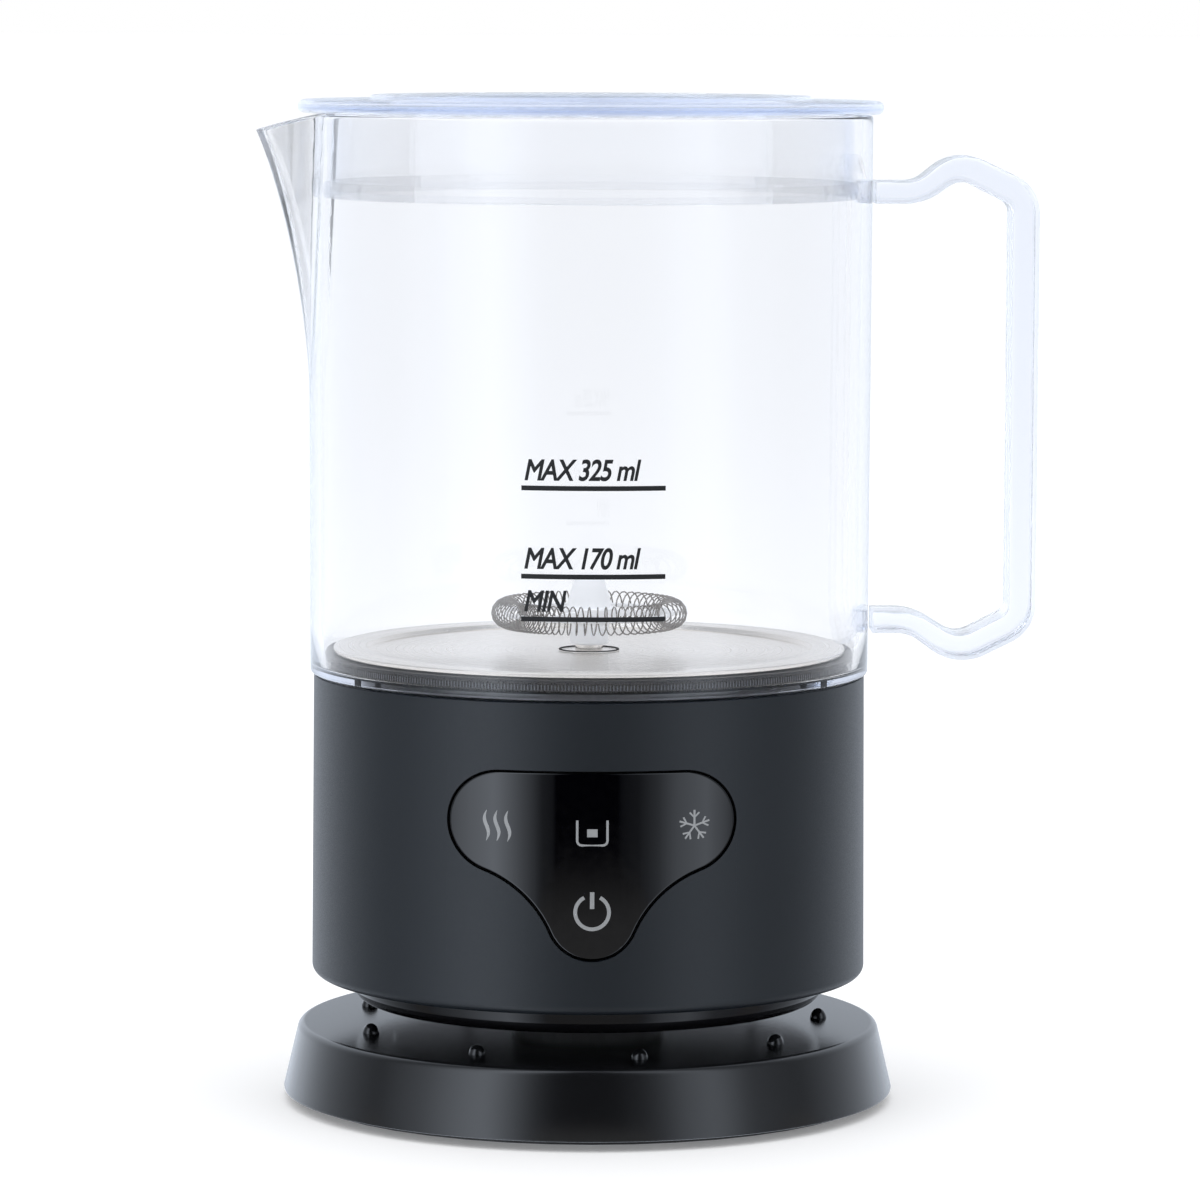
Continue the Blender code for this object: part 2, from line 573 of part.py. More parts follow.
def make_motor(body, paint):
    bore_r = SHAFT_R + RUN
    well_r = 28.0
    flange_r = BRACKET_SCREW_CIRCLE_R + 2.3
    flange_top = DECK_Z - TOUCH
    bracket = turned("motor_bracket", [
        (SHAFT_R + 4.2, BRACKET_Z), (well_r + BRACKET_T, BRACKET_Z),
        (well_r + BRACKET_T, flange_top - BRACKET_T), (flange_r, flange_top - BRACKET_T),
        (flange_r, flange_top), (well_r, flange_top), (well_r, BRACKET_Z + BRACKET_T),
        (SHAFT_R + 4.2, BRACKET_Z + BRACKET_T)], paint["steel"], body, MIDDLE_SIDES)
    holes = bmesh.new()
    for spot in circle_spots(BRACKET_SCREW_CIRCLE_R, 3, 30):
        add_rod(holes, BRACKET_SCREW_R + TOUCH, flange_top - BRACKET_T - 1.0, flange_top + 1.0, spot, 12)
    combine(bracket, "DIFFERENCE", holes, "motor_bracket_holes")
    screws("bracket_screw", 3, BRACKET_SCREW_CIRCLE_R, 30, flange_top - BRACKET_T - TOUCH - 1.2, 2.0,
           1.2, BRACKET_SCREW_R, BRACKET_T + TOUCH + DECK_T, paint["zinc"], body)

    turned("motor_can", [
        (bore_r, MOTOR_Z), (MOTOR_R, MOTOR_Z), (MOTOR_R, MOTOR_Z + MOTOR_H - 1.0),
        (MOTOR_R - 1.0, MOTOR_Z + MOTOR_H), (bore_r, MOTOR_Z + MOTOR_H)], paint["steel"], body, MIDDLE_SIDES)
    cap_top = MOTOR_Z - TOUCH
    turned("motor_end_cap", [
        (bore_r, cap_top - MOTOR_CAP_H), (MOTOR_R - 3.0, cap_top - MOTOR_CAP_H),
        (MOTOR_R - 0.4, cap_top - 1.0), (MOTOR_R - 0.4, cap_top), (bore_r, cap_top)],
        paint["grey_plastic"], body, MIDDLE_SIDES)


def make_heater(body, paint):
    post_top = HEATER_FLOOR_Z + POST_H
    band_top = HEATER_RIM_Z + HEATER_SHEET
    ring_r = 6.2
    turned("heater_plate", [
        (0.0, post_top), (POST_R - 0.4, post_top), (POST_R, post_top - 0.4),
        (POST_R, HEATER_FLOOR_Z + 0.15), (ring_r, HEATER_FLOOR_Z + 0.15), (ring_r + 0.2, HEATER_FLOOR_Z),
        (HEATER_BAND_IN_R - 0.8, HEATER_FLOOR_Z), (HEATER_BAND_IN_R, band_top),
        (HEATER_RIM_R - 0.2, band_top), (HEATER_RIM_R, band_top - 0.3), (HEATER_RIM_R, HEATER_RIM_Z),
        (HEATER_BAND_IN_R + 0.6, HEATER_RIM_Z), (HEATER_BAND_IN_R - 0.2, HEATER_UNDER_Z),
        (0.0, HEATER_UNDER_Z)], paint["stainless"], body)
    element_top = HEATER_UNDER_Z - TOUCH
    element_low = DECK_Z + 0.6
    turned("heating_element", [
        (22.0, element_low), (38.0, element_low), (39.0, element_low + 1.0), (39.0, element_top),
        (21.0, element_top), (21.0, element_low + 1.0)], paint["aluminium"], body, MIDDLE_SIDES)
    block("thermal_cutout", (24.5, -4.0, element_low - TOUCH - 3.4),
          (26.8, 4.0, element_low - TOUCH), paint["grey_plastic"], body)
    turned("temperature_sensor", [
        (0.0, element_top - 5.0), (1.8, element_top - 5.0), (1.8, element_top), (0.0, element_top)],
        paint["brass"], body, SMALL_SIDES, (-16.5, 0.0, 0.0))


def make_rotor(body, paint):
    shaft_top = CARRIER_Z + CARRIER_T - 1.8
    turned("motor_shaft", [
        (0.0, MOTOR_Z - MOTOR_CAP_H - 2.0), (SHAFT_R - 0.2, MOTOR_Z - MOTOR_CAP_H - 2.0),
        (SHAFT_R, MOTOR_Z - MOTOR_CAP_H - 1.8), (SHAFT_R, shaft_top - 0.2), (SHAFT_R - 0.2, shaft_top),
        (0.0, shaft_top)], paint["steel"], body, SMALL_SIDES)
    hub_low = BRACKET_Z + BRACKET_T + 1.4
    bore_r = SHAFT_R + TOUCH
    carrier = turned("magnet_carrier", [
        (0.0, CARRIER_Z + CARRIER_T), (CARRIER_R, CARRIER_Z + CARRIER_T), (CARRIER_R, CARRIER_Z),
        (SHAFT_R + 2.4, CARRIER_Z), (SHAFT_R + 2.4, hub_low), (bore_r, hub_low),
        (bore_r, shaft_top + TOUCH), (0.0, shaft_top + TOUCH)], paint["grey_plastic"], body, MIDDLE_SIDES)
    pocket_z = CARRIER_Z + 1.0
    pockets = bmesh.new()
    for spot in circle_spots(MAGNET_CIRCLE_R, 2, 90):
        add_rod(pockets, MAGNET_R + TOUCH, pocket_z, CARRIER_Z + CARRIER_T + 1.0, spot)
    combine(carrier, "DIFFERENCE", pockets, "magnet_pockets")
    magnet_z = pocket_z + TOUCH
    shared = None
    for index, (x, y) in enumerate(circle_spots(MAGNET_CIRCLE_R, 2, 90), start=1):
        node = f"drive_magnet_{index}"
        if shared is None:
            outline = [(0.0, 0.0), (MAGNET_R, 0.0), (MAGNET_R, MAGNET_H), (0.0, MAGNET_H)]
            shared = turned(node, outline, paint["nickel"], body, SMALL_SIDES, (x, y, magnet_z)).data
        else:
            add_object(node, shared, body, (x, y, magnet_z))


# ---------------------------------------------------------------- whisk

def make_whisk(body, paint):
    hub_low = HEATER_FLOOR_Z + 0.15 + TOUCH
    hub_top = hub_low + HUB_H
    ring_z = HEATER_FLOOR_Z + WHISK_RISE
    bore_r = POST_R + TOUCH
    bore_top = hub_low + 6.6
    turned("whisk_hub", [
        (bore_r, hub_low), (HUB_R, hub_low), (HUB_R, ring_z + 2.5), (HUB_R - 1.2, hub_top - 1.5),
        (HUB_R - 2.4, hub_top), (0.0, hub_top), (0.0, bore_top), (bore_r, bore_top)],
        paint["clear_plastic"], body, MIDDLE_SIDES)
    magnet_low = HEATER_FLOOR_Z + POST_H + TOUCH + 0.3
    turned("whisk_magnet", [
        (0.0, magnet_low), (POST_R - 0.1, magnet_low), (POST_R - 0.1, bore_top - TOUCH),
        (0.0, bore_top - TOUCH)], paint["nickel"], body, SMALL_SIDES)

    collar_in = HUB_R + TOUCH
    collar_out = collar_in + 1.0
    core = bmesh.new()
    section = [(WHISK_R + x, ring_z + z) for x, z in arc(0.0, 0.0, CORE_R, 0, 300, 5)]
    spun(core, section, 36)
    spun(core, [(collar_in, ring_z - 1.2), (collar_out, ring_z - 1.2), (collar_out, ring_z + 1.2),
                (collar_in, ring_z + 1.2)], 18)
    ring = add_object("whisk_ring", mesh_from(core, "whisk_ring", paint["clear_plastic"]), body)
    spokes = bmesh.new()
    for x, y in circle_spots(1.0, SPOKE_COUNT, 0):
        before = set(spokes.verts)
        add_block(spokes, (collar_in + 0.4, -0.45, ring_z - 0.6), (WHISK_R - 0.4, 0.45, ring_z + 0.6))
        bmesh.ops.rotate(spokes, cent=(0, 0, 0), verts=list(set(spokes.verts) - before),
                         matrix=Matrix.Rotation(math.atan2(y, x), 3, "Z"))
    combine(ring, "UNION", spokes, "whisk_spokes")

    add_object("whisk_coil", coil_mesh(ring_z, paint["stainless"]), body)


def coil_mesh(ring_z, finish):
    """Spring wound round the whisk's ring and joined end to end, as one endless wire."""
    per_turn = 8
    wire_sides = 4
    count = COIL_TURNS * per_turn

    def centre(step):
        round_ring = math.tau * step / count
        round_core = math.tau * step / per_turn
        out = WHISK_R + COIL_R * math.cos(round_core)
        return Vector((out * math.cos(round_ring), out * math.sin(round_ring),
                       ring_z + COIL_R * math.sin(round_core)))

    bm = bmesh.new()
    rings = []
    for step in range(count):
        here = centre(step)
        along = (centre(step + 1) - centre(step - 1)).normalized()
        round_ring = math.tau * step / count
        core = Vector((WHISK_R * math.cos(round_ring), WHISK_R * math.sin(round_ring), ring_z))
        out = (here - core).normalized()
        side = along.cross(out).normalized()
        rings.append([bm.verts.new(here + COIL_WIRE_R * (math.cos(a) * out + math.sin(a) * side))
                      for a in (math.tau * k / wire_sides for k in range(wire_sides))])
    for ring, after in zip(rings, rings[1:] + rings[:1]):
        for k in range(wire_sides):
            bm.faces.new((ring[k], ring[k - 1], after[k - 1], after[k]))
    return mesh_from(bm, "whisk_coil", finish)


# ---------------------------------------------------------------- jug

def spout_lift(x, y, z):
    """How far the wall is drawn out at a point, from 0 on the round wall to 1 at the tip."""
    start = RIM_Z - SPOUT_H
    away = math.degrees(math.atan2(abs(y), -x))
    if z <= start or away >= SPOUT_HALF_DEG:
        return 0.0
    across = math.cos(math.pi / 2 * away / SPOUT_HALF_DEG) ** 1.6
    return across * min((z - start) / SPOUT_H, 1.0) ** SPOUT_POWER


def make_jug(body, paint):
    flare = (JUG_TOP_R - JUG_FOOT_R) / JUG_H
    start = RIM_Z - SPOUT_H
    rows = 6
    levels = [start + (SPOUT_H - 0.4) * k / rows for k in range(rows + 1)]
    outside = [(JUG_FOOT_R + flare * (z - JUG_Z), z) for z in levels]
    inside = [(r - JUG_WALL, z) for r, z in reversed(outside)]
    floor_z = JUG_Z + JUG_FLOOR_T
    bm = bmesh.new()
    spun(bm, [
        (JUG_FLOOR_HOLE_R, JUG_Z), (BODY_TOP_R, JUG_Z), (JUG_FOOT_R, JUG_Z + JUG_FOOT_STEP),
        *outside, (JUG_TOP_R - 0.4, RIM_Z), (JUG_TOP_R - JUG_WALL + 0.4, RIM_Z),
        *inside, (JUG_IN_R, floor_z), (JUG_FLOOR_HOLE_R, floor_z)])
    for vert in bm.verts:
        lift = spout_lift(vert.co.x, vert.co.y, vert.co.z)
        if lift > 0.0:
            flat = Vector((vert.co.x, vert.co.y, 0.0)).normalized()
            vert.co += flat * (SPOUT_REACH * lift)
            vert.co.z -= SPOUT_DROP * lift ** 2
    jug = add_object("jug", mesh_from(bm, "jug", paint["clear_plastic"]), body)
    holes = bmesh.new()
    for spot in circle_spots(JUG_SCREW_CIRCLE_R, 3, 90):
        add_rod(holes, JUG_SCREW_R + TOUCH, JUG_Z - 1.0, floor_z + 1.0, spot, 12)
    combine(jug, "DIFFERENCE", holes, "jug_holes")

    clamp_r = JUG_IN_R - 1.4
    clamp = turned("clamp_ring", [
        (JUG_FLOOR_HOLE_R + 0.9, CLAMP_Z), (clamp_r, CLAMP_Z), (clamp_r, CLAMP_Z + CLAMP_T),
        (JUG_FLOOR_HOLE_R + 0.9, CLAMP_Z + CLAMP_T)], paint["gloss_black"], body)
    nuts = bmesh.new()
    for spot in circle_spots(JUG_SCREW_CIRCLE_R, 3, 90):
        add_rod(nuts, JUG_SCREW_R + TOUCH, CLAMP_Z - 1.0, CLAMP_Z + CLAMP_T + 1.0, spot, 12)
    combine(clamp, "DIFFERENCE", nuts, "clamp_ring_holes")
    seal_r = JUG_IN_R - TOUCH
    turned("jug_seal", [
        (JUG_FLOOR_HOLE_R + 0.9, SEAL_Z), (seal_r, SEAL_Z), (seal_r, SEAL_Z + SEAL_T),
        (JUG_FLOOR_HOLE_R + 0.9, SEAL_Z + SEAL_T)], paint["rubber"], body)
    head_z = DECK_Z - TOUCH - 1.2
    screws("jug_screw", 3, JUG_SCREW_CIRCLE_R, 90, head_z, 1.9, 1.2, JUG_SCREW_R,
           CLAMP_Z + CLAMP_T - head_z - 1.2, paint["matte_black"], body)


# ---------------------------------------------------------------- handle

def rounded_path(points, radii, steps=5):
    """A path through the points, with an arc of the given radius at each inner corner."""
    path = [(Vector(points[0]))]
    for before, corner, after, radius in zip(points, points[1:], points[2:], radii):
        corner = Vector(corner)
        back = (Vector(before) - corner).normalized()
        ahead = (Vector(after) - corner).normalized()
        half = back.angle(ahead) / 2
        reach = radius / math.tan(half)
        centre = corner + (back + ahead).normalized() * (radius / math.sin(half))
        start = corner + back * reach - centre
        end = corner + ahead * reach - centre
        turn = start.angle_signed(end)
        for k in range(steps + 1):
            a = -turn * k / steps
            path.append(centre + Vector((start.x * math.cos(a) - start.y * math.sin(a),
                                         start.x * math.sin(a) + start.y * math.cos(a))))
    path.append(Vector(points[-1]))
    return path


def handle_path():
    """Centre line from the upper pad, over the thumb rest, down the grip and back to the wall."""
    wall = JUG_TOP_R + TOUCH + 0.1
    grip = JUG_TOP_R + HANDLE_REACH
    top = RIM_Z - HANDLE_TOP_DROP
    low = JUG_Z + HANDLE_LOW_RISE
    points = [(wall, top), (wall + 9.0, top), (grip - 13.4, top + 5.9), (grip, top - 0.7),
              (grip, low + 0.2), (grip - 12.9, low - 6.3), (wall + 8.0, low), (wall, low)]
    return rounded_path(points, (9.0, 7.0, 5.5, 5.5, 8.0, 10.0))


def make_handle(body, paint):
    path = handle_path()
    grip = JUG_TOP_R + HANDLE_REACH
    near = JUG_TOP_R + 9.0
    outer = []
    inner = []
    for index, point in enumerate(path):
        before = path[max(index - 1, 0)]
        after = path[min(index + 1, len(path) - 1)]
        along = (after - before).normalized()
        share = min(max((point.x - near) / (grip - 8.0 - near), 0.0), 1.0)
        half = (HANDLE_ARM_T + (HANDLE_GRIP_T - HANDLE_ARM_T) * share) / 2
        outer.append(point + Vector((-along.y, along.x)) * half)
        inner.append(point - Vector((-along.y, along.x)) * half)
    bm = bmesh.new()
    add_prism(bm, [tuple(p) for p in outer + inner[::-1]], -HANDLE_W / 2, HANDLE_W / 2)
    add_object("handle", mesh_from(bm, "handle", paint["clear_plastic"]), body)


# ---------------------------------------------------------------- lid

def make_lid(body, paint):
    top = LID_Z + LID_T
    seal_low = LID_Z - LID_SKIRT_H
    seal_top = seal_low + LID_SEAL_H
    inner_r = LID_SKIRT_R - LID_SKIRT_WALL
    groove_r = LID_SKIRT_R - 0.9
    rim = arc(LID_R - LID_EDGE, LID_Z + LID_EDGE, LID_EDGE, -90, 0, 2)
    rim += arc(LID_R - LID_EDGE, top - LID_EDGE, LID_EDGE, 0, 90, 2)
    turned("lid", [
        (0.0, top + LID_PLATEAU_H), (LID_PLATEAU_R - 0.8, top + LID_PLATEAU_H),
        (LID_PLATEAU_R, top), *reversed(rim), (LID_SKIRT_R, LID_Z), (LID_SKIRT_R, seal_top + TOUCH),
        (groove_r, seal_top + TOUCH), (groove_r, seal_low), (inner_r, seal_low),
        (inner_r, LID_Z + 0.4), (0.0, LID_Z + 0.4)], paint["clear_plastic"], body)
    turned("lid_seal", [
        (groove_r + TOUCH, seal_low), (LID_SKIRT_R + 0.5, seal_low),
        (JUG_TOP_R - JUG_WALL - LID_SEAL_GAP, seal_low + LID_SEAL_H / 2),
        (LID_SKIRT_R + 0.5, seal_top), (groove_r + TOUCH, seal_top)], paint["silicone"], body)


def build():
    clear_scene()
    paint = {
        "satin_black": material("satin_black", (0.014, 0.014, 0.016), 0.42),
        "gloss_black": material("gloss_black", (0.008, 0.008, 0.010), 0.12),
        "matte_black": material("matte_black", (0.020, 0.020, 0.022), 0.60),
        "charcoal": material("charcoal", (0.038, 0.038, 0.043), 0.50, 0.35),
        "clear_plastic": material("clear_plastic", (0.90, 0.93, 0.98), 0.04, 0.0, 1.0),
        "silicone": material("silicone", (0.80, 0.84, 0.90), 0.35, 0.0, 0.6),
        "rubber": material("rubber", (0.015, 0.015, 0.016), 0.80),
        "grey_plastic": material("grey_plastic", (0.30, 0.31, 0.33), 0.50),
        "stainless": material("stainless", (0.62, 0.62, 0.62), 0.25, 1.0),
        "steel": material("steel", (0.52, 0.53, 0.55), 0.35, 1.0),
        "zinc": material("zinc", (0.60, 0.60, 0.58), 0.35, 1.0),
        "aluminium": material("aluminium", (0.72, 0.72, 0.73), 0.45, 1.0),
        "nickel": material("nickel", (0.66, 0.64, 0.60), 0.25, 1.0),
        "brass": material("brass", (0.70, 0.52, 0.26), 0.30, 1.0),
        "circuit_board": material("circuit_board", (0.03, 0.16, 0.07), 0.45),
        "relay_blue": material("relay_blue", (0.04, 0.12, 0.40), 0.45),
    }
    base = body_empty("body_power_base")
    shroud = body_empty("body_shroud", base)
    unit = body_empty("body_unit", shroud)
    rotor = body_empty("body_rotor", unit)
    whisk = body_empty("body_whisk", rotor)
    lid = body_empty("body_lid", unit)
    make_base(base, paint)
    make_shroud(shroud, paint)
    make_housing(unit, paint)
    make_controls(unit, paint)
    make_motor(unit, paint)
    make_heater(unit, paint)
    make_rotor(rotor, paint)
    make_whisk(whisk, paint)
    make_jug(unit, paint)
    make_handle(unit, paint)
    make_lid(lid, paint)


build()
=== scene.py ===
import math

import bmesh
import bpy
from mathutils import Matrix, Vector


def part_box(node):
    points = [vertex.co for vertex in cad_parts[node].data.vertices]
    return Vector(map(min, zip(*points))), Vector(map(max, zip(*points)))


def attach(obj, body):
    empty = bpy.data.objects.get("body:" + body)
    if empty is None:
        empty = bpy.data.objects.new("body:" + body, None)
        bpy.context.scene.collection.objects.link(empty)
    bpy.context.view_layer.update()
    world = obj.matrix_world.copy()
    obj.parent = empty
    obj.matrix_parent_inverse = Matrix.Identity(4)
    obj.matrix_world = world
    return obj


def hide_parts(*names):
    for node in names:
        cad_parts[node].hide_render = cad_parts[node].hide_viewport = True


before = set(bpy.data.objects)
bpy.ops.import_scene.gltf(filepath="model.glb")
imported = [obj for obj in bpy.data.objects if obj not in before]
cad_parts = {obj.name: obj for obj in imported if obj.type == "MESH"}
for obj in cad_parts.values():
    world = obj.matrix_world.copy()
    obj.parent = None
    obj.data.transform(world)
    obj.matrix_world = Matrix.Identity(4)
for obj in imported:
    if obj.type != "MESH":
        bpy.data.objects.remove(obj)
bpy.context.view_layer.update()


# ---------------------------------------------------------------- base cover
# Moulded ABS shell with a fine satin face. The skirt flares towards the standing surface, the top
# edge is rounded, and nine domes moulded in a ring keep the docked unit clear of spilt milk.

MM = 0.001
FINE = 256             # facets round a large turned piece
NOISE_SPAN = (0.3, 0.7)        # where most of a noise texture's values lie


def node_box(node):
    """Lowest and highest corner of a CAD node, in millimetres."""
    low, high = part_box(node)
    return low / MM, high / MM


def arc(cx, cy, radius, start_deg, end_deg, steps):
    angles = [math.radians(start_deg + (end_deg - start_deg) * k / steps) for k in range(steps + 1)]
    return [(cx + radius * math.cos(a), cy + radius * math.sin(a)) for a in angles]


def spun(bm, outline, steps=FINE):
    """Turns an (r, z) outline about the shared axis, and returns the new vertices."""
    before = set(bm.verts)
    corners = [bm.verts.new((r, 0.0, z)) for r, z in outline]
    edges = [bm.edges.new(pair) for pair in zip(corners, corners[1:])]
    if outline[0][0] > 0.0 or outline[-1][0] > 0.0:
        edges.append(bm.edges.new((corners[-1], corners[0])))
    bmesh.ops.spin(bm, geom=corners + edges, cent=(0, 0, 0), axis=(0, 0, 1),
                   angle=math.tau, steps=steps, use_merge=True)
    return [vert for vert in bm.verts if vert not in before]


def finish_mesh(bm, name, finish, sharp_deg=32.0):
    """Merges doubles, turns faces outwards, and goes from millimetres to metres."""
    bmesh.ops.remove_doubles(bm, verts=bm.verts, dist=0.0005)
    bmesh.ops.recalc_face_normals(bm, faces=bm.faces)
    bmesh.ops.scale(bm, vec=(MM, MM, MM), verts=bm.verts)
    mesh = bpy.data.meshes.new(name)
    bm.to_mesh(mesh)
    bm.free()
    mesh.shade_smooth()
    mesh.set_sharp_from_angle(angle=math.radians(sharp_deg))
    mesh.materials.append(finish)
    made = bpy.data.objects.new(name, mesh)
    bpy.context.collection.objects.link(made)
    return made


def fit(piece, body, slot, *nodes):
    """The piece rides on its body and stands for its CAD nodes, which it hides; slot is not used."""
    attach(piece, body)
    if nodes:
        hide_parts(*nodes)
    return piece


def grain_group():
    """Fine grain and slow mottling, both from the object's own coordinates."""
    group = bpy.data.node_groups.new("moulded_grain", "ShaderNodeTree")
    for name, value in (("Grain Scale", 4000.0), ("Mottle Scale", 60.0)):
        group.interface.new_socket(name, in_out="INPUT",
                                   socket_type="NodeSocketFloat").default_value = value
    for name in ("Grain", "Mottle"):
        group.interface.new_socket(name, in_out="OUTPUT", socket_type="NodeSocketFloat")
    nodes, links = group.nodes, group.links
    taken, given = nodes.new("NodeGroupInput"), nodes.new("NodeGroupOutput")
    place = nodes.new("ShaderNodeTexCoord")
    for name, detail in (("Grain", 2.0), ("Mottle", 3.0)):
        noise = nodes.new("ShaderNodeTexNoise")
        noise.inputs["Detail"].default_value = detail
        links.new(place.outputs["Object"], noise.inputs["Vector"])
        links.new(taken.outputs[name + " Scale"], noise.inputs["Scale"])
        links.new(noise.outputs["Fac"], given.inputs[name])
    return group


grain = grain_group()


def remap(tree, source, start, end, low=0.0, high=1.0):
    """Maps a value between start and end onto low and high, and returns the new output."""
    node = tree.nodes.new("ShaderNodeMapRange")
    for name, value in (("From Min", start), ("From Max", end), ("To Min", low), ("To Max", high)):
        node.inputs[name].default_value = value
    tree.links.new(source, node.inputs["Value"])
    return node.outputs["Result"]


def preset(finish, **values):
    """Sets plain values on a finish's shader; spaces in a socket's name are written as _."""
    for name, value in values.items():
        finish.node_tree.nodes["Principled BSDF"].inputs[name.replace("_", " ")].default_value = value
    return finish


def grained(name, dark, light, rough, bump_mm, grain_scale=4000.0, mottle_scale=60.0, metallic=0.0):
    """A finish with two near colours, a roughness range and a relief of bump_mm."""
    made = bpy.data.materials.new(name)
    made.use_nodes = True
    nodes, links = made.node_tree.nodes, made.node_tree.links
    shader = nodes["Principled BSDF"]
    shader.inputs["Metallic"].default_value = metallic
    speckle = nodes.new("ShaderNodeGroup")
    speckle.node_tree = grain
    speckle.inputs["Grain Scale"].default_value = grain_scale
    speckle.inputs["Mottle Scale"].default_value = mottle_scale
    blend = nodes.new("ShaderNodeMix")
    blend.data_type = "RGBA"
    blend.inputs["A"].default_value = (*dark, 1.0)
    blend.inputs["B"].default_value = (*light, 1.0)
    links.new(speckle.outputs["Mottle"], blend.inputs["Factor"])
    links.new(blend.outputs["Result"], shader.inputs["Base Color"])
    links.new(remap(made.node_tree, speckle.outputs["Grain"], *NOISE_SPAN, *rough),
              shader.inputs["Roughness"])
    relief = nodes.new("ShaderNodeBump")
    relief.inputs["Strength"].default_value = 1.0
    relief.inputs["Distance"].default_value = bump_mm * MM
    links.new(speckle.outputs["Grain"], relief.inputs["Height"])
    links.new(relief.outputs["Normal"], shader.inputs["Normal"])
    return made


def paint_nodes(finish, *nodes):
    """Gives CAD nodes that keep their shape a finish of their own."""
    for node in nodes:
        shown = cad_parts[node]
        if not shown.material_slots:
            shown.data.materials.append(finish)
        for held in shown.material_slots:
            held.material = finish


satin_black = grained("satin_black_plastic", (0.0040, 0.0042, 0.0050), (0.0056, 0.0060, 0.0070),
                      (0.15, 0.23), 0.004, 5200.0, 45.0)

SKIRT_R = node_box("base_cover")[1].x
SKIRT_Z = node_box("base_cover")[0].z
BASE_TOP_Z = 15.8
BASE_TOP_R = SKIRT_R - 2.8
BASE_EDGE = 1.6
BASE_WALL = 2.2
DOCK_HOLE_R = 16.0
DOME_R = 1.7
DOME_H = 2.0
DOME_RING_R = 47.4
DOME_COUNT = 9
DOME_FIRST_DEG = 1.7
DOME_SINK = 0.6

bm = bmesh.new()
spun(bm, [
    (SKIRT_R - 0.4, SKIRT_Z), (SKIRT_R - 0.1, SKIRT_Z + 0.12), (SKIRT_R, SKIRT_Z + 0.5),
    *arc(BASE_TOP_R - BASE_EDGE, BASE_TOP_Z - BASE_EDGE, BASE_EDGE, 6, 90, 10),
    (DOCK_HOLE_R, BASE_TOP_Z), (DOCK_HOLE_R, BASE_TOP_Z - BASE_WALL),
    (BASE_TOP_R - BASE_WALL, BASE_TOP_Z - BASE_WALL), (SKIRT_R - BASE_WALL, SKIRT_Z)])
for k in range(DOME_COUNT):
    around = math.radians(DOME_FIRST_DEG + 360.0 * k / DOME_COUNT)
    dome = spun(bm, [(0.0, BASE_TOP_Z - DOME_SINK), (DOME_R, BASE_TOP_Z - DOME_SINK),
                     *[(r, z * DOME_H / DOME_R + BASE_TOP_Z) for r, z in arc(0, 0, DOME_R, 0, 90, 6)]], 20)
    bmesh.ops.translate(bm, verts=dome, vec=(DOME_RING_R * math.cos(around),
                                             DOME_RING_R * math.sin(around), 0.0))
fit(finish_mesh(bm, "base_shell", satin_black), "power_base", "satin_black", "base_cover")


# ---------------------------------------------------------------- base underside and dock
# The bottom plate, its rubber feet and screws, the cord's bush, and the round connector that the
# unit turns on. Plain engineering parts, screwed or pressed into the cover from below.

matte_black = grained("matte_black_plastic", (0.014, 0.014, 0.015), (0.020, 0.020, 0.022),
                      (0.52, 0.64), 0.006, 3600.0, 80.0)
rubber = grained("foot_rubber", (0.010, 0.010, 0.010), (0.016, 0.016, 0.016), (0.72, 0.86),
                 0.010, 2600.0, 120.0)
grey_plastic = grained("grey_moulding", (0.26, 0.27, 0.29), (0.31, 0.32, 0.34), (0.42, 0.52),
                       0.005, 3200.0, 70.0)
zinc = grained("zinc_plate", (0.55, 0.55, 0.53), (0.66, 0.66, 0.63), (0.26, 0.40), 0.003,
               5000.0, 500.0, 1.0)
brass = grained("contact_brass", (0.62, 0.44, 0.19), (0.74, 0.55, 0.27), (0.20, 0.32), 0.002,
                5000.0, 400.0, 1.0)

paint_nodes(matte_black, "base_bottom_plate", "base_connector", "socket", "capacitor")
paint_nodes(rubber, "base_foot_1", "base_foot_2", "base_foot_3", "base_foot_4", "cord_gland")
paint_nodes(zinc, "base_screw_1", "base_screw_2", "base_screw_3")
paint_nodes(brass, "base_contact_ring")
paint_nodes(grey_plastic, "connector_shroud")


# ---------------------------------------------------------------- underside of the unit
# Glossy black moulding, tapered towards the base with a step at its foot. It is screwed up into
# the housing and carries the socket that drops over the base's connector.

gloss_black = grained("gloss_black_plastic", (0.0035, 0.0035, 0.0045), (0.0045, 0.0045, 0.0055),
                      (0.07, 0.11), 0.0006, 700.0, 30.0)

preset(gloss_black, IOR=1.35)
UNDER_LOW, UNDER_HIGH = node_box("bottom_cover")
UNDER_TOP_R = 48.0
UNDER_LOW_R = 46.0
UNDER_STEP_R = 40.0
UNDER_WALL = 2.0
UNDER_BELLY_R = 2.8
UNDER_FLOOR_T = 2.9
step_z = UNDER_LOW.z + 0.9
flange_z = UNDER_HIGH.z - 2.1
flange_r = UNDER_HIGH.x
bm = bmesh.new()
spun(bm, [
    (flange_r, flange_z), (flange_r, UNDER_HIGH.z), (UNDER_TOP_R - UNDER_WALL, UNDER_HIGH.z),
    (UNDER_LOW_R - UNDER_WALL, UNDER_LOW.z + UNDER_FLOOR_T), (DOCK_HOLE_R, UNDER_LOW.z + UNDER_FLOOR_T),
    (DOCK_HOLE_R, UNDER_LOW.z), (UNDER_STEP_R - 0.3, UNDER_LOW.z), (UNDER_STEP_R, UNDER_LOW.z + 0.3),
    (UNDER_STEP_R, step_z),
    *arc(UNDER_TOP_R - UNDER_BELLY_R, step_z + UNDER_BELLY_R, UNDER_BELLY_R, -90, 0, 12),
    (UNDER_TOP_R, flange_z)])
fit(finish_mesh(bm, "underside_shell", gloss_black), "unit", "gloss_black", "bottom_cover")
paint_nodes(zinc, "body_screw_1", "body_screw_2", "body_screw_3")
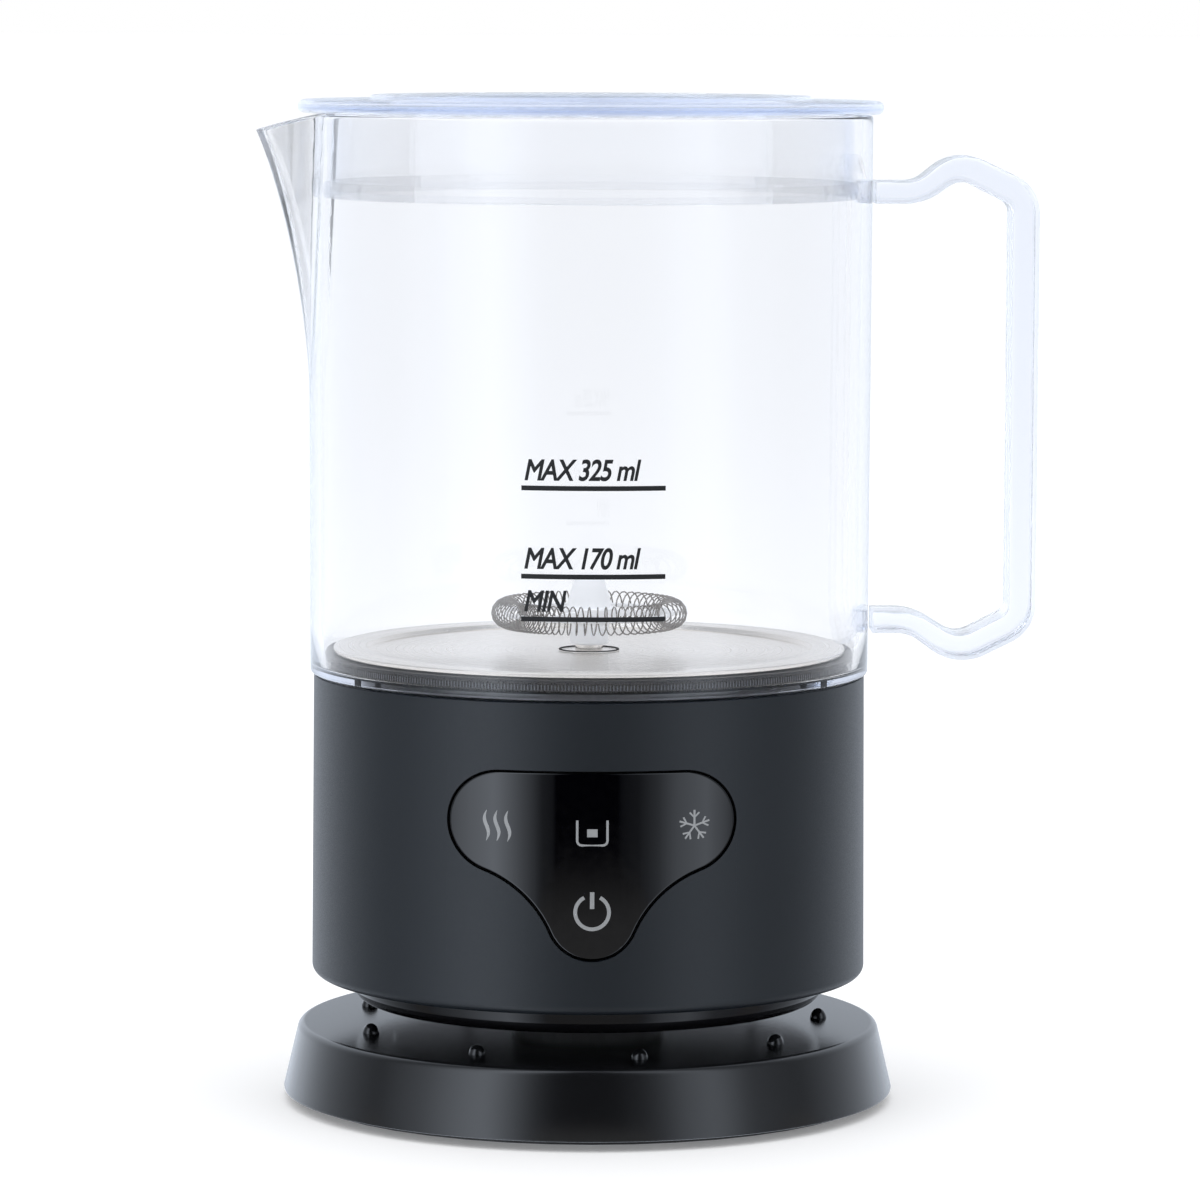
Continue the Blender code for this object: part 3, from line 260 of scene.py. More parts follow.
paint_nodes(brass, "socket_pin", "socket_contact")


# ---------------------------------------------------------------- housing
# Aluminium-look charcoal housing: a moulded shell with a fine metallic paint. Its lower edge is
# rounded, the deck on top closes it under the jug, and a window in the front takes the panel.

charcoal = grained("charcoal_paint", (0.0050, 0.0074, 0.0104), (0.0070, 0.0098, 0.0134),
                   (0.34, 0.52), 0.008, 5200.0, 35.0)
preset(charcoal, IOR=1.41)

BODY_LOW, BODY_HIGH = node_box("housing")
BODY_FOOT_R = BODY_HIGH.x
BODY_TOP_R = BODY_FOOT_R - 0.4
BODY_TOP_Z = BODY_HIGH.z
BODY_WALL = 2.2
BODY_EDGE = 2.0
DECK_T = 2.0
DECK_HOLE_R = 43.0
LOBE_R = 9.9
LOBE_X = 18.1
LOBE_DROP = 23.6
CHIN_R = 8.9
CHIN_DROP = 41.5
WAIST_R = 22.0
PANEL_GROOVE = 0.4


def panel_outline(grow, fine=3):
    """Two upper lobes joined by a straight top, running in S curves into the lower lobe."""
    lobe = Vector((LOBE_X, BODY_TOP_Z - LOBE_DROP))
    chin = Vector((0.0, BODY_TOP_Z - CHIN_DROP))
    across = lobe - chin
    span = across.length
    far, near = LOBE_R + WAIST_R, CHIN_R + WAIST_R
    along = (near * near - far * far + span * span) / (2 * span)
    off = math.sqrt(near * near - along * along)
    unit = across / span
    waist = chin + unit * along + Vector((unit.y, -unit.x)) * off
    to_lobe = math.degrees(math.atan2(lobe.y - waist.y, lobe.x - waist.x))
    to_chin = math.degrees(math.atan2(chin.y - waist.y, chin.x - waist.x))
    right = [*arc(*chin, CHIN_R + grow, -90, to_chin - 180, 6 * fine),
             *arc(*waist, WAIST_R - grow, to_chin, to_lobe, 5 * fine)[1:-1],
             *arc(*lobe, LOBE_R + grow, to_lobe - 180, 90, 10 * fine)]
    return right + [(-x, z) for x, z in reversed(right[1:])]


def flat_prism(bm, outline, low, high):
    """Extrudes a flat (x, z) outline along Y, and returns the face at the low end."""
    face = bm.faces.new([bm.verts.new((x, low, z)) for x, z in outline])
    made = bmesh.ops.extrude_face_region(bm, geom=[face], use_keep_orig=True)
    bmesh.ops.translate(bm, vec=(0.0, high - low, 0.0),
                        verts=[v for v in made["geom"] if isinstance(v, bmesh.types.BMVert)])
    return face


def applied(piece):
    """Leaves the result of a piece's modifiers as its plain mesh."""
    bpy.context.view_layer.update()
    shown = piece.evaluated_get(bpy.context.evaluated_depsgraph_get())
    mesh = bpy.data.meshes.new_from_object(shown)
    piece.modifiers.clear()
    piece.data = mesh
    return piece


bm = bmesh.new()
foot_in_r = BODY_FOOT_R - BODY_WALL
body_in_r = BODY_TOP_R - BODY_WALL
spun(bm, [
    (foot_in_r - 0.1, BODY_LOW.z),
    *arc(BODY_FOOT_R - BODY_EDGE, BODY_LOW.z + BODY_EDGE, BODY_EDGE, -90, 0, 8),
    *arc(BODY_TOP_R - 0.3, BODY_TOP_Z - 0.3, 0.3, 0, 90, 3), (DECK_HOLE_R, BODY_TOP_Z),
    (DECK_HOLE_R, BODY_TOP_Z - DECK_T), (body_in_r, BODY_TOP_Z - DECK_T),
    (foot_in_r - 0.1, BODY_LOW.z + 2.4)], 320)
housing_shell = finish_mesh(bm, "housing_shell", charcoal)
bm = bmesh.new()
flat_prism(bm, panel_outline(PANEL_GROOVE), -BODY_FOOT_R - 5.0, -BODY_FOOT_R + 24.0)
window_tool = finish_mesh(bm, "window_tool", charcoal)
window = housing_shell.modifiers.new("window", "BOOLEAN")
window.operation = "DIFFERENCE"
window.solver = "EXACT"
window.object = window_tool
eased = housing_shell.modifiers.new("eased", "BEVEL")
eased.width = 0.22 * MM
eased.segments = 2
eased.limit_method = "ANGLE"
eased.angle_limit = math.radians(50)
eased.use_clamp_overlap = True
applied(housing_shell)
bpy.data.objects.remove(window_tool)
housing_shell.data.shade_smooth()
housing_shell.data.set_sharp_from_angle(angle=math.radians(20))
level = housing_shell.modifiers.new("level", "WEIGHTED_NORMAL")
level.keep_sharp = True
level.weight = 90
applied(housing_shell)
fit(housing_shell, "unit", "charcoal", "housing")


# ---------------------------------------------------------------- touch panel
# Glossy black acrylic cover with two upper lobes and one lower lobe, glued into the window in
# front of the touch board, with grey symbols printed on it for warm, froth, cold and power.

PANEL_R = -node_box("panel_cover")[0].y
PANEL_T = 2.0
PANEL_EDGE = 0.45
STRIP = 0.5            # width of the flat strips that follow the housing's curve


def wrap_forward(bm, radius):
    """Bends a flat sheet onto a cylinder's front; y is the height above its surface."""
    for vert in bm.verts:
        reach = radius + vert.co.y
        vert.co.y = -math.sqrt(reach * reach - vert.co.x ** 2)


def cut_strips(bm, half_width, step):
    """Cuts a flat shape into upright strips, so that it can bend."""
    for k in range(-int(half_width / step), int(half_width / step) + 1):
        bmesh.ops.bisect_plane(bm, geom=bm.verts[:] + bm.edges[:] + bm.faces[:],
                               plane_co=(k * step + 0.013, 0, 0), plane_no=(1, 0, 0), dist=0.0001)


bm = bmesh.new()
front = flat_prism(bm, panel_outline(0.0), 0.0, -PANEL_T)
bmesh.ops.bevel(bm, geom=front.edges[:], offset=PANEL_EDGE, segments=4, profile=0.5,
                affect="EDGES", material=-1, clamp_overlap=True)
cut_strips(bm, LOBE_X + LOBE_R, STRIP)
wrap_forward(bm, PANEL_R)
panel_glass = grained("panel_acrylic", (0.0003, 0.0003, 0.0008), (0.0006, 0.0006, 0.0012),
                      (0.03, 0.06), 0.0002, 500.0, 30.0)
panel = finish_mesh(bm, "panel_glass", panel_glass, 40.0)
even = panel.modifiers.new("even", "WEIGHTED_NORMAL")
even.keep_sharp = True
fit(applied(panel), "unit", "gloss_black", "panel_cover")

print_grey = grained("grey_print", (0.22, 0.23, 0.24), (0.27, 0.28, 0.29), (0.35, 0.45), 0.001,
                     6000.0, 900.0)


def strokes(bm, paths, width, lift):
    """Lines of one width, printed flat: each path is (points, closed) in x and z."""
    for points, closed in paths:
        line = bpy.data.curves.new("stroke", "CURVE")
        line.dimensions = "3D"
        line.bevel_depth = width / 2
        line.bevel_resolution = 1
        line.use_fill_caps = True
        spline = line.splines.new("POLY")
        spline.points.add(len(points) - 1)
        for spot, (x, z) in zip(spline.points, points):
            spot.co = (x, 0.0, z, 1.0)
        spline.use_cyclic_u = closed
        holder = bpy.data.objects.new("stroke", line)
        mesh = bpy.data.meshes.new_from_object(holder)
        mesh.transform(Matrix.Diagonal((1.0, 2 * lift / width, 1.0, 1.0)))
        bm.from_mesh(mesh)
        bpy.data.objects.remove(holder)
        bpy.data.meshes.remove(mesh)
        bpy.data.curves.remove(line)


def steam(bm, cx, cz, height):
    """One wavy stroke of the warm symbol, widest in its middle and pointed at both ends."""
    sides = [], []
    for k in range(17):
        t = k / 16
        x = cx - STEAM_SWING * math.sin(math.tau * t) + 0.1 * (0.5 - t)
        half = STEAM_HALF_W * math.sin(math.pi * t) ** 0.8 + 0.03
        for side, out in zip(sides, (-half, half)):
            side.append((x + out, cz + height * (0.5 - t)))
    flat_prism(bm, sides[0] + sides[1][::-1], PRINT_LIFT, -PRINT_LIFT)


ICON_Z = BODY_TOP_Z - LOBE_DROP
PRINT_LIFT = 0.05
SYMBOL_Z = ICON_Z - 0.75
STEAM_SWING = 0.42
STEAM_HALF_W = 0.36
STEAM_H = 6.1
CUP_HALF_W = 2.95
CUP_R = 0.9
CUP_TOP_Z = ICON_Z + 0.7
CUP_LOW_Z = ICON_Z - 3.3
CUBE_HALF_W = 1.02
FLAKE_X = 20.0
FLAKE_ARM = 3.1
FLAKE_TWIG = 2.6
FLAKE_FORK = 1.6
FLAKE_SPREAD = 0.95
POWER_R = 3.3
bm = bmesh.new()
for x in (-20.65, -18.6, -16.5):
    steam(bm, x, SYMBOL_Z, STEAM_H)
wrap_forward(bm, PANEL_R)
fit(finish_mesh(bm, "print_warm", print_grey), "unit", "grey_plastic")
cup_corner = CUP_HALF_W - CUP_R
cup = [([(-CUP_HALF_W, CUP_TOP_Z), (-CUP_HALF_W, CUP_LOW_Z),
         *arc(-cup_corner, CUP_LOW_Z, CUP_R, 180, 270, 4)[1:],
         *arc(cup_corner, CUP_LOW_Z, CUP_R, 270, 360, 4), (CUP_HALF_W, CUP_TOP_Z)], False)]
cube = [([(-CUBE_HALF_W, ICON_Z - 1.8), (CUBE_HALF_W, ICON_Z - 1.8)], False)]
flake = []
for k in range(5):
    ray = math.radians(72.0 * k + 90.0)
    tip = Vector((math.cos(ray), math.sin(ray)))
    side = Vector((-tip.y, tip.x))
    heart = Vector((FLAKE_X, SYMBOL_Z))
    flake.append(([tuple(heart), tuple(heart + tip * FLAKE_ARM)], False))
    flake.append(([tuple(heart + tip * FLAKE_TWIG + side * FLAKE_SPREAD),
                   tuple(heart + tip * FLAKE_FORK),
                   tuple(heart + tip * FLAKE_TWIG - side * FLAKE_SPREAD)], False))
POWER_Z = BODY_TOP_Z - CHIN_DROP + 0.5
power = [(arc(0.0, POWER_Z, POWER_R, 118, 422, 40), False),
         ([(0.0, POWER_Z + 0.7), (0.0, POWER_Z + 4.0)], False)]
for name, paths, width in (("print_cup", cup, 0.46), ("print_cube", cube, 1.8),
                           ("print_cold", flake, 0.42),
                           ("print_power", power, 0.85)):
    bm = bmesh.new()
    strokes(bm, paths, width, PRINT_LIFT)
    wrap_forward(bm, PANEL_R)
    fit(finish_mesh(bm, name, print_grey), "unit", "grey_plastic")


# ---------------------------------------------------------------- inside the housing
# The seal, light guide and touch board behind the panel, the control board with its relay,
# capacitor and terminals, and the motor on its steel bracket. Bought-in parts, screwed in.

clear_moulding = grained("light_guide_plastic", (0.70, 0.74, 0.80), (0.78, 0.82, 0.88),
                         (0.18, 0.28), 0.002, 2500.0, 90.0)
circuit_board = grained("board_resin", (0.018, 0.105, 0.045), (0.030, 0.150, 0.065), (0.34, 0.46),
                        0.004, 1800.0, 300.0)
relay_blue = grained("relay_case", (0.030, 0.100, 0.340), (0.040, 0.125, 0.400), (0.38, 0.48),
                     0.003, 2400.0, 120.0)
steel = grained("pressed_steel", (0.44, 0.45, 0.47), (0.56, 0.57, 0.59), (0.30, 0.44), 0.003,
                3000.0, 160.0, 1.0)
nickel = grained("magnet_nickel", (0.60, 0.58, 0.54), (0.70, 0.68, 0.64), (0.18, 0.28), 0.001,
                 5000.0, 300.0, 1.0)
aluminium = grained("cast_aluminium", (0.60, 0.60, 0.61), (0.74, 0.74, 0.75), (0.38, 0.54),
                    0.012, 1600.0, 140.0, 1.0)
paint_nodes(rubber, "panel_gasket")
paint_nodes(clear_moulding, "light_guide")
paint_nodes(circuit_board, "touch_board", "control_board")
paint_nodes(relay_blue, "relay")
paint_nodes(grey_plastic, "terminal_block", "motor_end_cap", "magnet_carrier", "thermal_cutout")
paint_nodes(steel, "motor_bracket", "motor_can", "motor_shaft")
paint_nodes(zinc, "bracket_screw_1", "bracket_screw_2", "bracket_screw_3")
paint_nodes(nickel, "drive_magnet_1", "drive_magnet_2", "whisk_magnet")
paint_nodes(aluminium, "heating_element")
paint_nodes(brass, "temperature_sensor")


# ---------------------------------------------------------------- jug
# Clear copolyester jug, blow-smooth inside and out, with a V-shaped spout drawn out of its rim.
# Its floor ring is clamped to the deck by screws; level marks are printed on the front.


def clear_plastic(name, tint, density, wave_scale, wave_mm, body=1.0, bend=1.5, face=(1.0, 1.0, 1.0),
                  thin=None):
    """Clear moulding: slightly blue in depth, with the slow waviness of a moulded wall.

    thin fades the body along one axis: (axis, start in mm, end in mm, body at the end).
    """
    made = bpy.data.materials.new(name)
    made.use_nodes = True
    nodes, links = made.node_tree.nodes, made.node_tree.links
    shader = nodes["Principled BSDF"]
    shader.inputs["Base Color"].default_value = (*face, 1.0)
    shader.inputs["Roughness"].default_value = 0.0
    shader.inputs["IOR"].default_value = bend
    shader.inputs["Transmission Weight"].default_value = 1.0
    shader.inputs["Alpha"].default_value = body
    place = nodes.new("ShaderNodeTexCoord")
    noise = nodes.new("ShaderNodeTexNoise")
    noise.inputs["Scale"].default_value = wave_scale
    noise.inputs["Detail"].default_value = 1.0
    if thin:
        axis, near, far, value = thin
        apart = nodes.new("ShaderNodeSeparateXYZ")
        links.new(place.outputs["Object"], apart.inputs["Vector"])
        links.new(remap(made.node_tree, apart.outputs[axis], near * MM, far * MM, body, value),
                  shader.inputs["Alpha"])
    relief = nodes.new("ShaderNodeBump")
    relief.inputs["Distance"].default_value = wave_mm * MM
    links.new(place.outputs["Object"], noise.inputs["Vector"])
    links.new(noise.outputs["Fac"], relief.inputs["Height"])
    links.new(relief.outputs["Normal"], shader.inputs["Normal"])
    path = nodes.new("ShaderNodeLightPath")
    through = nodes.new("ShaderNodeBsdfTransparent")
    through.inputs["Color"].default_value = (0.93, 0.95, 0.98, 1.0)
    pick = nodes.new("ShaderNodeMixShader")
    out = nodes["Material Output"]
    links.new(path.outputs["Is Shadow Ray"], pick.inputs["Fac"])
    links.new(shader.outputs["BSDF"], pick.inputs[1])
    links.new(through.outputs["BSDF"], pick.inputs[2])
    links.new(pick.outputs["Shader"], out.inputs["Surface"])
    depth = nodes.new("ShaderNodeVolumeAbsorption")
    depth.inputs["Color"].default_value = (*tint, 1.0)
    depth.inputs["Density"].default_value = density
    links.new(depth.outputs["Volume"], out.inputs["Volume"])
    return made


jug_plastic = clear_plastic("jug_copolyester", (0.33, 0.51, 0.86), 13.0, 22.0, 0.01, 1.0, 1.40,
                            (0.962, 0.963, 0.966), ("X", -54.0, -57.5, 0.75))

JUG_LOW, JUG_HIGH = node_box("jug")
JUG_FOOT_R = BODY_TOP_R + 0.7
JUG_TOP_R = JUG_HIGH.x
JUG_WALL = 2.2
JUG_FLOOR_T = 1.3
JUG_FLOOR_HOLE_R = 46.6
RIM_Z = JUG_HIGH.z
SPOUT_REACH = -JUG_LOW.x - JUG_TOP_R
SPOUT_H = 58.0
SPOUT_DROP = 3.1
SPOUT_HALF_DEG = 17.0
SPOUT_POWER = 1.75
SPOUT_TIP_DEG = 1.1


def draw_spout(bm):
    """Draws the wall out to a V: flat sides from the round wall to a small rounded nose."""
    start = RIM_Z - SPOUT_H
    for vert in bm.verts:
        x, y, z = vert.co
        share = (z - start) / SPOUT_H
        away = math.atan2(abs(y), -x)
        half = math.radians(SPOUT_HALF_DEG * (0.35 + 0.65 * min(max(share, 0.0), 1.0)))
        if share <= 0.0 or away >= half:
            continue
        share = min(share, 1.0) ** SPOUT_POWER
        wall = math.hypot(x, y)
        nose = wall + SPOUT_REACH * share
        soft = math.radians(SPOUT_TIP_DEG)
        eased_away = math.sqrt(away * away + soft * soft) - soft * (1 - away / half)
        foot_x, foot_y = wall * math.cos(half), wall * math.sin(half)
        reach = foot_y * nose / (foot_y * math.cos(eased_away) + (nose - foot_x) * math.sin(eased_away))
        reach = max(reach, wall)
        lift = (reach - wall) / SPOUT_REACH
        vert.co.x *= reach / wall
        vert.co.y *= reach / wall
        vert.co.z -= SPOUT_DROP * lift * share ** 2


flare = (JUG_TOP_R - JUG_FOOT_R) / (RIM_Z - JUG_LOW.z)
low_levels = [JUG_LOW.z + 0.8 + 9.0 * k for k in range(6)]
spout_levels = [RIM_Z - SPOUT_H + (SPOUT_H - 0.6) * k / 36 for k in range(37)]
outside = [(JUG_FOOT_R + flare * (z - JUG_LOW.z), z) for z in low_levels + spout_levels]
inside = [(r - JUG_WALL, z) for r, z in reversed(outside) if z > JUG_LOW.z + 3.0]
bm = bmesh.new()
spun(bm, [
    (JUG_FLOOR_HOLE_R, JUG_LOW.z), (BODY_TOP_R, JUG_LOW.z),
    *arc(JUG_FOOT_R - 0.6, JUG_LOW.z + 0.65, 0.6, -70, -15, 3), *outside,
    *arc(JUG_TOP_R - 0.5, RIM_Z - 0.5, 0.5, 15, 90, 3),
    *arc(JUG_TOP_R - JUG_WALL + 0.5, RIM_Z - 0.5, 0.5, 90, 165, 3), *inside,
    *[(JUG_FOOT_R - JUG_WALL - r, z) for r, z in ((0.0, JUG_LOW.z + 2.3), (0.15, JUG_LOW.z + 1.7),
                                                  (0.6, JUG_LOW.z + JUG_FLOOR_T))],
    (JUG_FLOOR_HOLE_R, JUG_LOW.z + JUG_FLOOR_T)], 288)
draw_spout(bm)
fit(finish_mesh(bm, "jug_wall", jug_plastic, 40.0), "unit", "clear_plastic", "jug")

mark_ink = grained("mark_ink", (0.0015, 0.0015, 0.0018), (0.003, 0.003, 0.0035), (0.6, 0.75), 0.001,
                   5000.0, 800.0)
MARK_R = JUG_FOOT_R + flare * 30.0
MARK_LIFT = 0.09
MARK_W = 28.0
MARK_T = 0.95
MARK_CAP_H = 4.1
CAP_SHARE = 0.72       # height of a capital in the typeface's own size
SLANT = 0.24
NARROW = 0.80


def mark_text(bm, words, left, low, cap_h):
    """Slanted printed words whose capitals are cap_h high, starting at left."""
    text = bpy.data.curves.new("mark", "FONT")
    text.body = words
    text.size = cap_h / CAP_SHARE
    text.shear = SLANT
    text.bevel_depth = 0.13
    text.bevel_resolution = 0
    text.space_character = 0.93
    text.extrude = 0.02
    holder = bpy.data.objects.new("mark", text)
    bpy.context.collection.objects.link(holder)
    bpy.context.view_layer.update()
    mesh = bpy.data.meshes.new_from_object(
        holder.evaluated_get(bpy.context.evaluated_depsgraph_get()))
    narrow = Matrix.Diagonal((NARROW, 1.0, 1.0, 1.0))
    upright = Matrix(((1, 0, 0, left), (0, 0, 0.35, 0.05), (0, 1, 0, low), (0, 0, 0, 1)))
    mesh.transform(upright @ narrow)
    bm.from_mesh(mesh)
    bpy.data.objects.remove(holder)
    bpy.data.meshes.remove(mesh)
    bpy.data.curves.remove(text)


for name, words, bar_z in (("mark_max", "MAX 325 ml", 129.4), ("mark_mid", "MAX 170 ml", 112.2),
                           ("mark_min", "MIN", 103.9)):
    bm = bmesh.new()
    half = MARK_W / 2
    flat_prism(bm, [(-half, bar_z - MARK_T / 2), (half, bar_z - MARK_T / 2),
                    (half, bar_z + MARK_T / 2), (-half, bar_z + MARK_T / 2)], MARK_LIFT, 0.02)
    mark_text(bm, words, -half + 0.4, bar_z + 1.6, MARK_CAP_H)
    cut_strips(bm, half, 1.0)
    wrap_forward(bm, MARK_R)
    fit(finish_mesh(bm, name, mark_ink), "unit", "matte_black")


# ---------------------------------------------------------------- clamp ring and seal
# Black moulded ring whose edge is finely ribbed, its crests given a lighter painted highlight, screwed down
# inside the jug's foot, with a flat black seal between it and the rim of the heater plate.

RIB_COUNT = 500
RIB_DEPTH = 0.4
RING_LOW, RING_HIGH = node_box("clamp_ring")
RING_T = RING_HIGH.z - RING_LOW.z
ring_in_r = JUG_FLOOR_HOLE_R + 0.9
bm = bmesh.new()
rib_low, rib_high = RING_LOW.z + 0.05 * RING_T, RING_LOW.z + 0.95 * RING_T
root_r = RING_HIGH.x - RIB_DEPTH
outline = [(ring_in_r, RING_LOW.z), (root_r, RING_LOW.z), (root_r, rib_low),
           (RING_HIGH.x, rib_low + 0.1), (RING_HIGH.x, rib_high - 0.1), (root_r, rib_high),
           (root_r, RING_HIGH.z), (ring_in_r, RING_HIGH.z)]
ribbed = spun(bm, outline, RIB_COUNT * 4)
step = math.tau / (RIB_COUNT * 4)
for vert in ribbed:
    out = math.hypot(vert.co.x, vert.co.y)
    turn = round(math.atan2(vert.co.y, vert.co.x) / step)
    if out > RING_HIGH.x - 0.1 and turn % 4 > 1:
        vert.co.x *= (out - RIB_DEPTH) / out
        vert.co.y *= (out - RIB_DEPTH) / out
bm.normal_update()
for face in bm.faces:
    # Crest faces take the second, lighter finish: a painted highlight on the rib tips.
    face.material_index = int(min(math.hypot(v.co.x, v.co.y) for v in face.verts) > RING_HIGH.x - 0.1)
ring_black = grained("ring_moulding", (0.0025, 0.0035, 0.0085), (0.0045, 0.0060, 0.0130), (0.22, 0.34),
                     0.003, 3000.0, 90.0)
# The lighter blue-grey of the crests is a painted highlight standing in for light caught by the rib tips.
crest_painted_highlight = grained("crest_painted_highlight", (0.095, 0.110, 0.145), (0.130, 0.145, 0.180), (0.30, 0.42),
                     0.003, 3000.0, 900.0)
preset(ring_black, IOR=1.30)
clamp_ribs = finish_mesh(bm, "clamp_ribs", ring_black, 20.0)
clamp_ribs.data.materials.append(crest_painted_highlight)
fit(clamp_ribs, "unit", "gloss_black", "clamp_ring")
seal_black = grained("seal_rubber", (0.0020, 0.0028, 0.0065), (0.0035, 0.0048, 0.0100), (0.34, 0.46), 0.003,
                     3000.0, 90.0)
preset(seal_black, IOR=1.30)
paint_nodes(seal_black, "jug_seal")
paint_nodes(matte_black, "jug_screw_1", "jug_screw_2", "jug_screw_3")


# ---------------------------------------------------------------- heater plate
# Pressed stainless steel, turned to a circular brushed finish, with a raised polished band round
# its rim and a low post in the middle that the whisk sits on.


def brushed_steel(name, tone, rough, line_scale, line_mm):
    """Stainless with fine circular brushing round the axis."""
    made = bpy.data.materials.new(name)
    made.use_nodes = True
    nodes, links = made.node_tree.nodes, made.node_tree.links
    shader = nodes["Principled BSDF"]
    shader.inputs["Metallic"].default_value = 1.0
    place = nodes.new("ShaderNodeTexCoord")
    apart = nodes.new("ShaderNodeSeparateXYZ")
    out = nodes.new("ShaderNodeMath")
    out.operation = "POWER"
    out.inputs[1].default_value = 2.0
    out_y = nodes.new("ShaderNodeMath")
    out_y.operation = "MULTIPLY_ADD"
    root = nodes.new("ShaderNodeMath")
    root.operation = "SQRT"
    links.new(place.outputs["Object"], apart.inputs["Vector"])
    links.new(apart.outputs["X"], out.inputs[0])
    links.new(apart.outputs["Y"], out_y.inputs[0])
    links.new(apart.outputs["Y"], out_y.inputs[1])
    links.new(out.outputs["Value"], out_y.inputs[2])
    links.new(out_y.outputs["Value"], root.inputs[0])
    lines = nodes.new("ShaderNodeTexNoise")
    lines.noise_dimensions = "1D"
    lines.inputs["Scale"].default_value = line_scale
    lines.inputs["Detail"].default_value = 3.0
    links.new(root.outputs["Value"], lines.inputs["W"])
    blotch = nodes.new("ShaderNodeTexNoise")
    blotch.inputs["Scale"].default_value = 45.0
    links.new(place.outputs["Object"], blotch.inputs["Vector"])
    blend = nodes.new("ShaderNodeMix")
    blend.data_type = "RGBA"
    blend.inputs["A"].default_value = (*[value * 0.88 for value in tone], 1.0)
    blend.inputs["B"].default_value = (*tone, 1.0)
    links.new(blotch.outputs["Fac"], blend.inputs["Factor"])
    links.new(blend.outputs["Result"], shader.inputs["Base Color"])
    links.new(remap(made.node_tree, lines.outputs["Fac"], *NOISE_SPAN, *rough),
              shader.inputs["Roughness"])
    relief = nodes.new("ShaderNodeBump")
    relief.inputs["Distance"].default_value = line_mm * MM
    links.new(lines.outputs["Fac"], relief.inputs["Height"])
    links.new(relief.outputs["Normal"], shader.inputs["Normal"])
    return made


plate_steel = brushed_steel("plate_stainless", (0.95, 0.915, 0.87), (0.16, 0.30), 2500.0, 0.012)
HEATER_LOW, HEATER_HIGH = node_box("heater_plate")
POST_R = 2.8
POST_RING_R = 6.2
BAND_IN_R = 45.5
SHEET_T = 0.8
band_top = HEATER_LOW.z + 1.7
heater_floor = HEATER_LOW.z + SHEET_T
bm = bmesh.new()
spun(bm, [
    (0.0, HEATER_HIGH.z), (POST_R - 0.5, HEATER_HIGH.z),
    *arc(POST_R - 0.4, HEATER_HIGH.z - 0.4, 0.4, 70, 0, 4), (POST_R, heater_floor + 0.35),
    (POST_R + 0.2, heater_floor + 0.15), (POST_RING_R, heater_floor + 0.15),
    (POST_RING_R + 0.2, heater_floor), (BAND_IN_R - 1.0, heater_floor),
    (BAND_IN_R - 0.75, heater_floor + 0.06), (BAND_IN_R - 0.15, band_top - 0.08),
    (BAND_IN_R + 0.1, band_top), *arc(HEATER_HIGH.x - 0.3, band_top - 0.3, 0.3, 90, 0, 3),
    (HEATER_HIGH.x, band_top - SHEET_T), (BAND_IN_R + 0.6, band_top - SHEET_T),
    (BAND_IN_R - 0.2, HEATER_LOW.z), (0.0, HEATER_LOW.z)])
fit(finish_mesh(bm, "heater_pressing", plate_steel, 25.0), "unit", "stainless", "heater_plate")
bm = bmesh.new()
spun(bm, [(POST_RING_R - 0.25 + x, heater_floor + 0.15 + z) for x, z in arc(0, 0, 0.24, 0, 330, 11)], 96)
fit(finish_mesh(bm, "post_seal", rubber), "unit", "rubber")


# ---------------------------------------------------------------- whisk
# A pale nylon hub sits on the plate's post and is pulled round by magnets; hub and frame carry a painted
# glow. Three spokes hold a core ring, and a fine stainless spring is wound round that ring and hooked end to
# end.

wire_steel = grained("spring_wire", (0.26, 0.25, 0.24), (0.40, 0.38, 0.36), (0.14, 0.24), 0.001,
                     4000.0, 700.0, 1.0)
hub_plastic_painted_glow = grained("hub_nylon_painted_glow", (0.93, 0.94, 0.96), (0.96, 0.97, 0.98), (0.35, 0.45), 0.002,
                      2500.0, 200.0)
# The emission is a painted glow: it brightens the hub and frame in place of light that reaches them only
# through the clear jug.
preset(hub_plastic_painted_glow, Transmission_Weight=0.1, Emission_Color=(0.97, 0.98, 1.0, 1.0),
       Emission_Strength=0.16)

HUB_LOW, HUB_HIGH = node_box("whisk_hub")
COIL_LOW, COIL_HIGH = node_box("whisk_coil")
HUB_R = HUB_HIGH.x
RING_Z = (COIL_LOW.z + COIL_HIGH.z) / 2
RING_R = 17.0
WIRE_R = 0.15
COIL_R = COIL_HIGH.x - RING_R - WIRE_R
TURNS = 70
TURN_STEPS = 14
CORE_R = 0.45
CROWD_FROM = 0.42      # share of the turns where the crowding starts
CROWD_SPAN = 0.34
CROWD_PULL = 0.12
bore_r = POST_R + 0.3
bore_top = HUB_LOW.z + 6.6
bm = bmesh.new()
spun(bm, [
    (bore_r, HUB_LOW.z + 0.9), (HUB_R - 0.8, HUB_LOW.z + 0.9), (HUB_R - 0.5, HUB_LOW.z + 1.2),
    (HUB_R - 0.4, RING_Z - 2.2), (HUB_R, RING_Z - 1.6), (HUB_R, RING_Z + 2.5),
    (HUB_R - 1.2, HUB_HIGH.z - 1.5), *arc(HUB_R - 2.6, HUB_HIGH.z - 1.2, 1.2, 30, 90, 5),
    (0.0, HUB_HIGH.z), (0.0, bore_top), (bore_r, bore_top)], 64)
fit(finish_mesh(bm, "whisk_post", hub_plastic_painted_glow), "whisk", "clear_plastic", "whisk_hub")

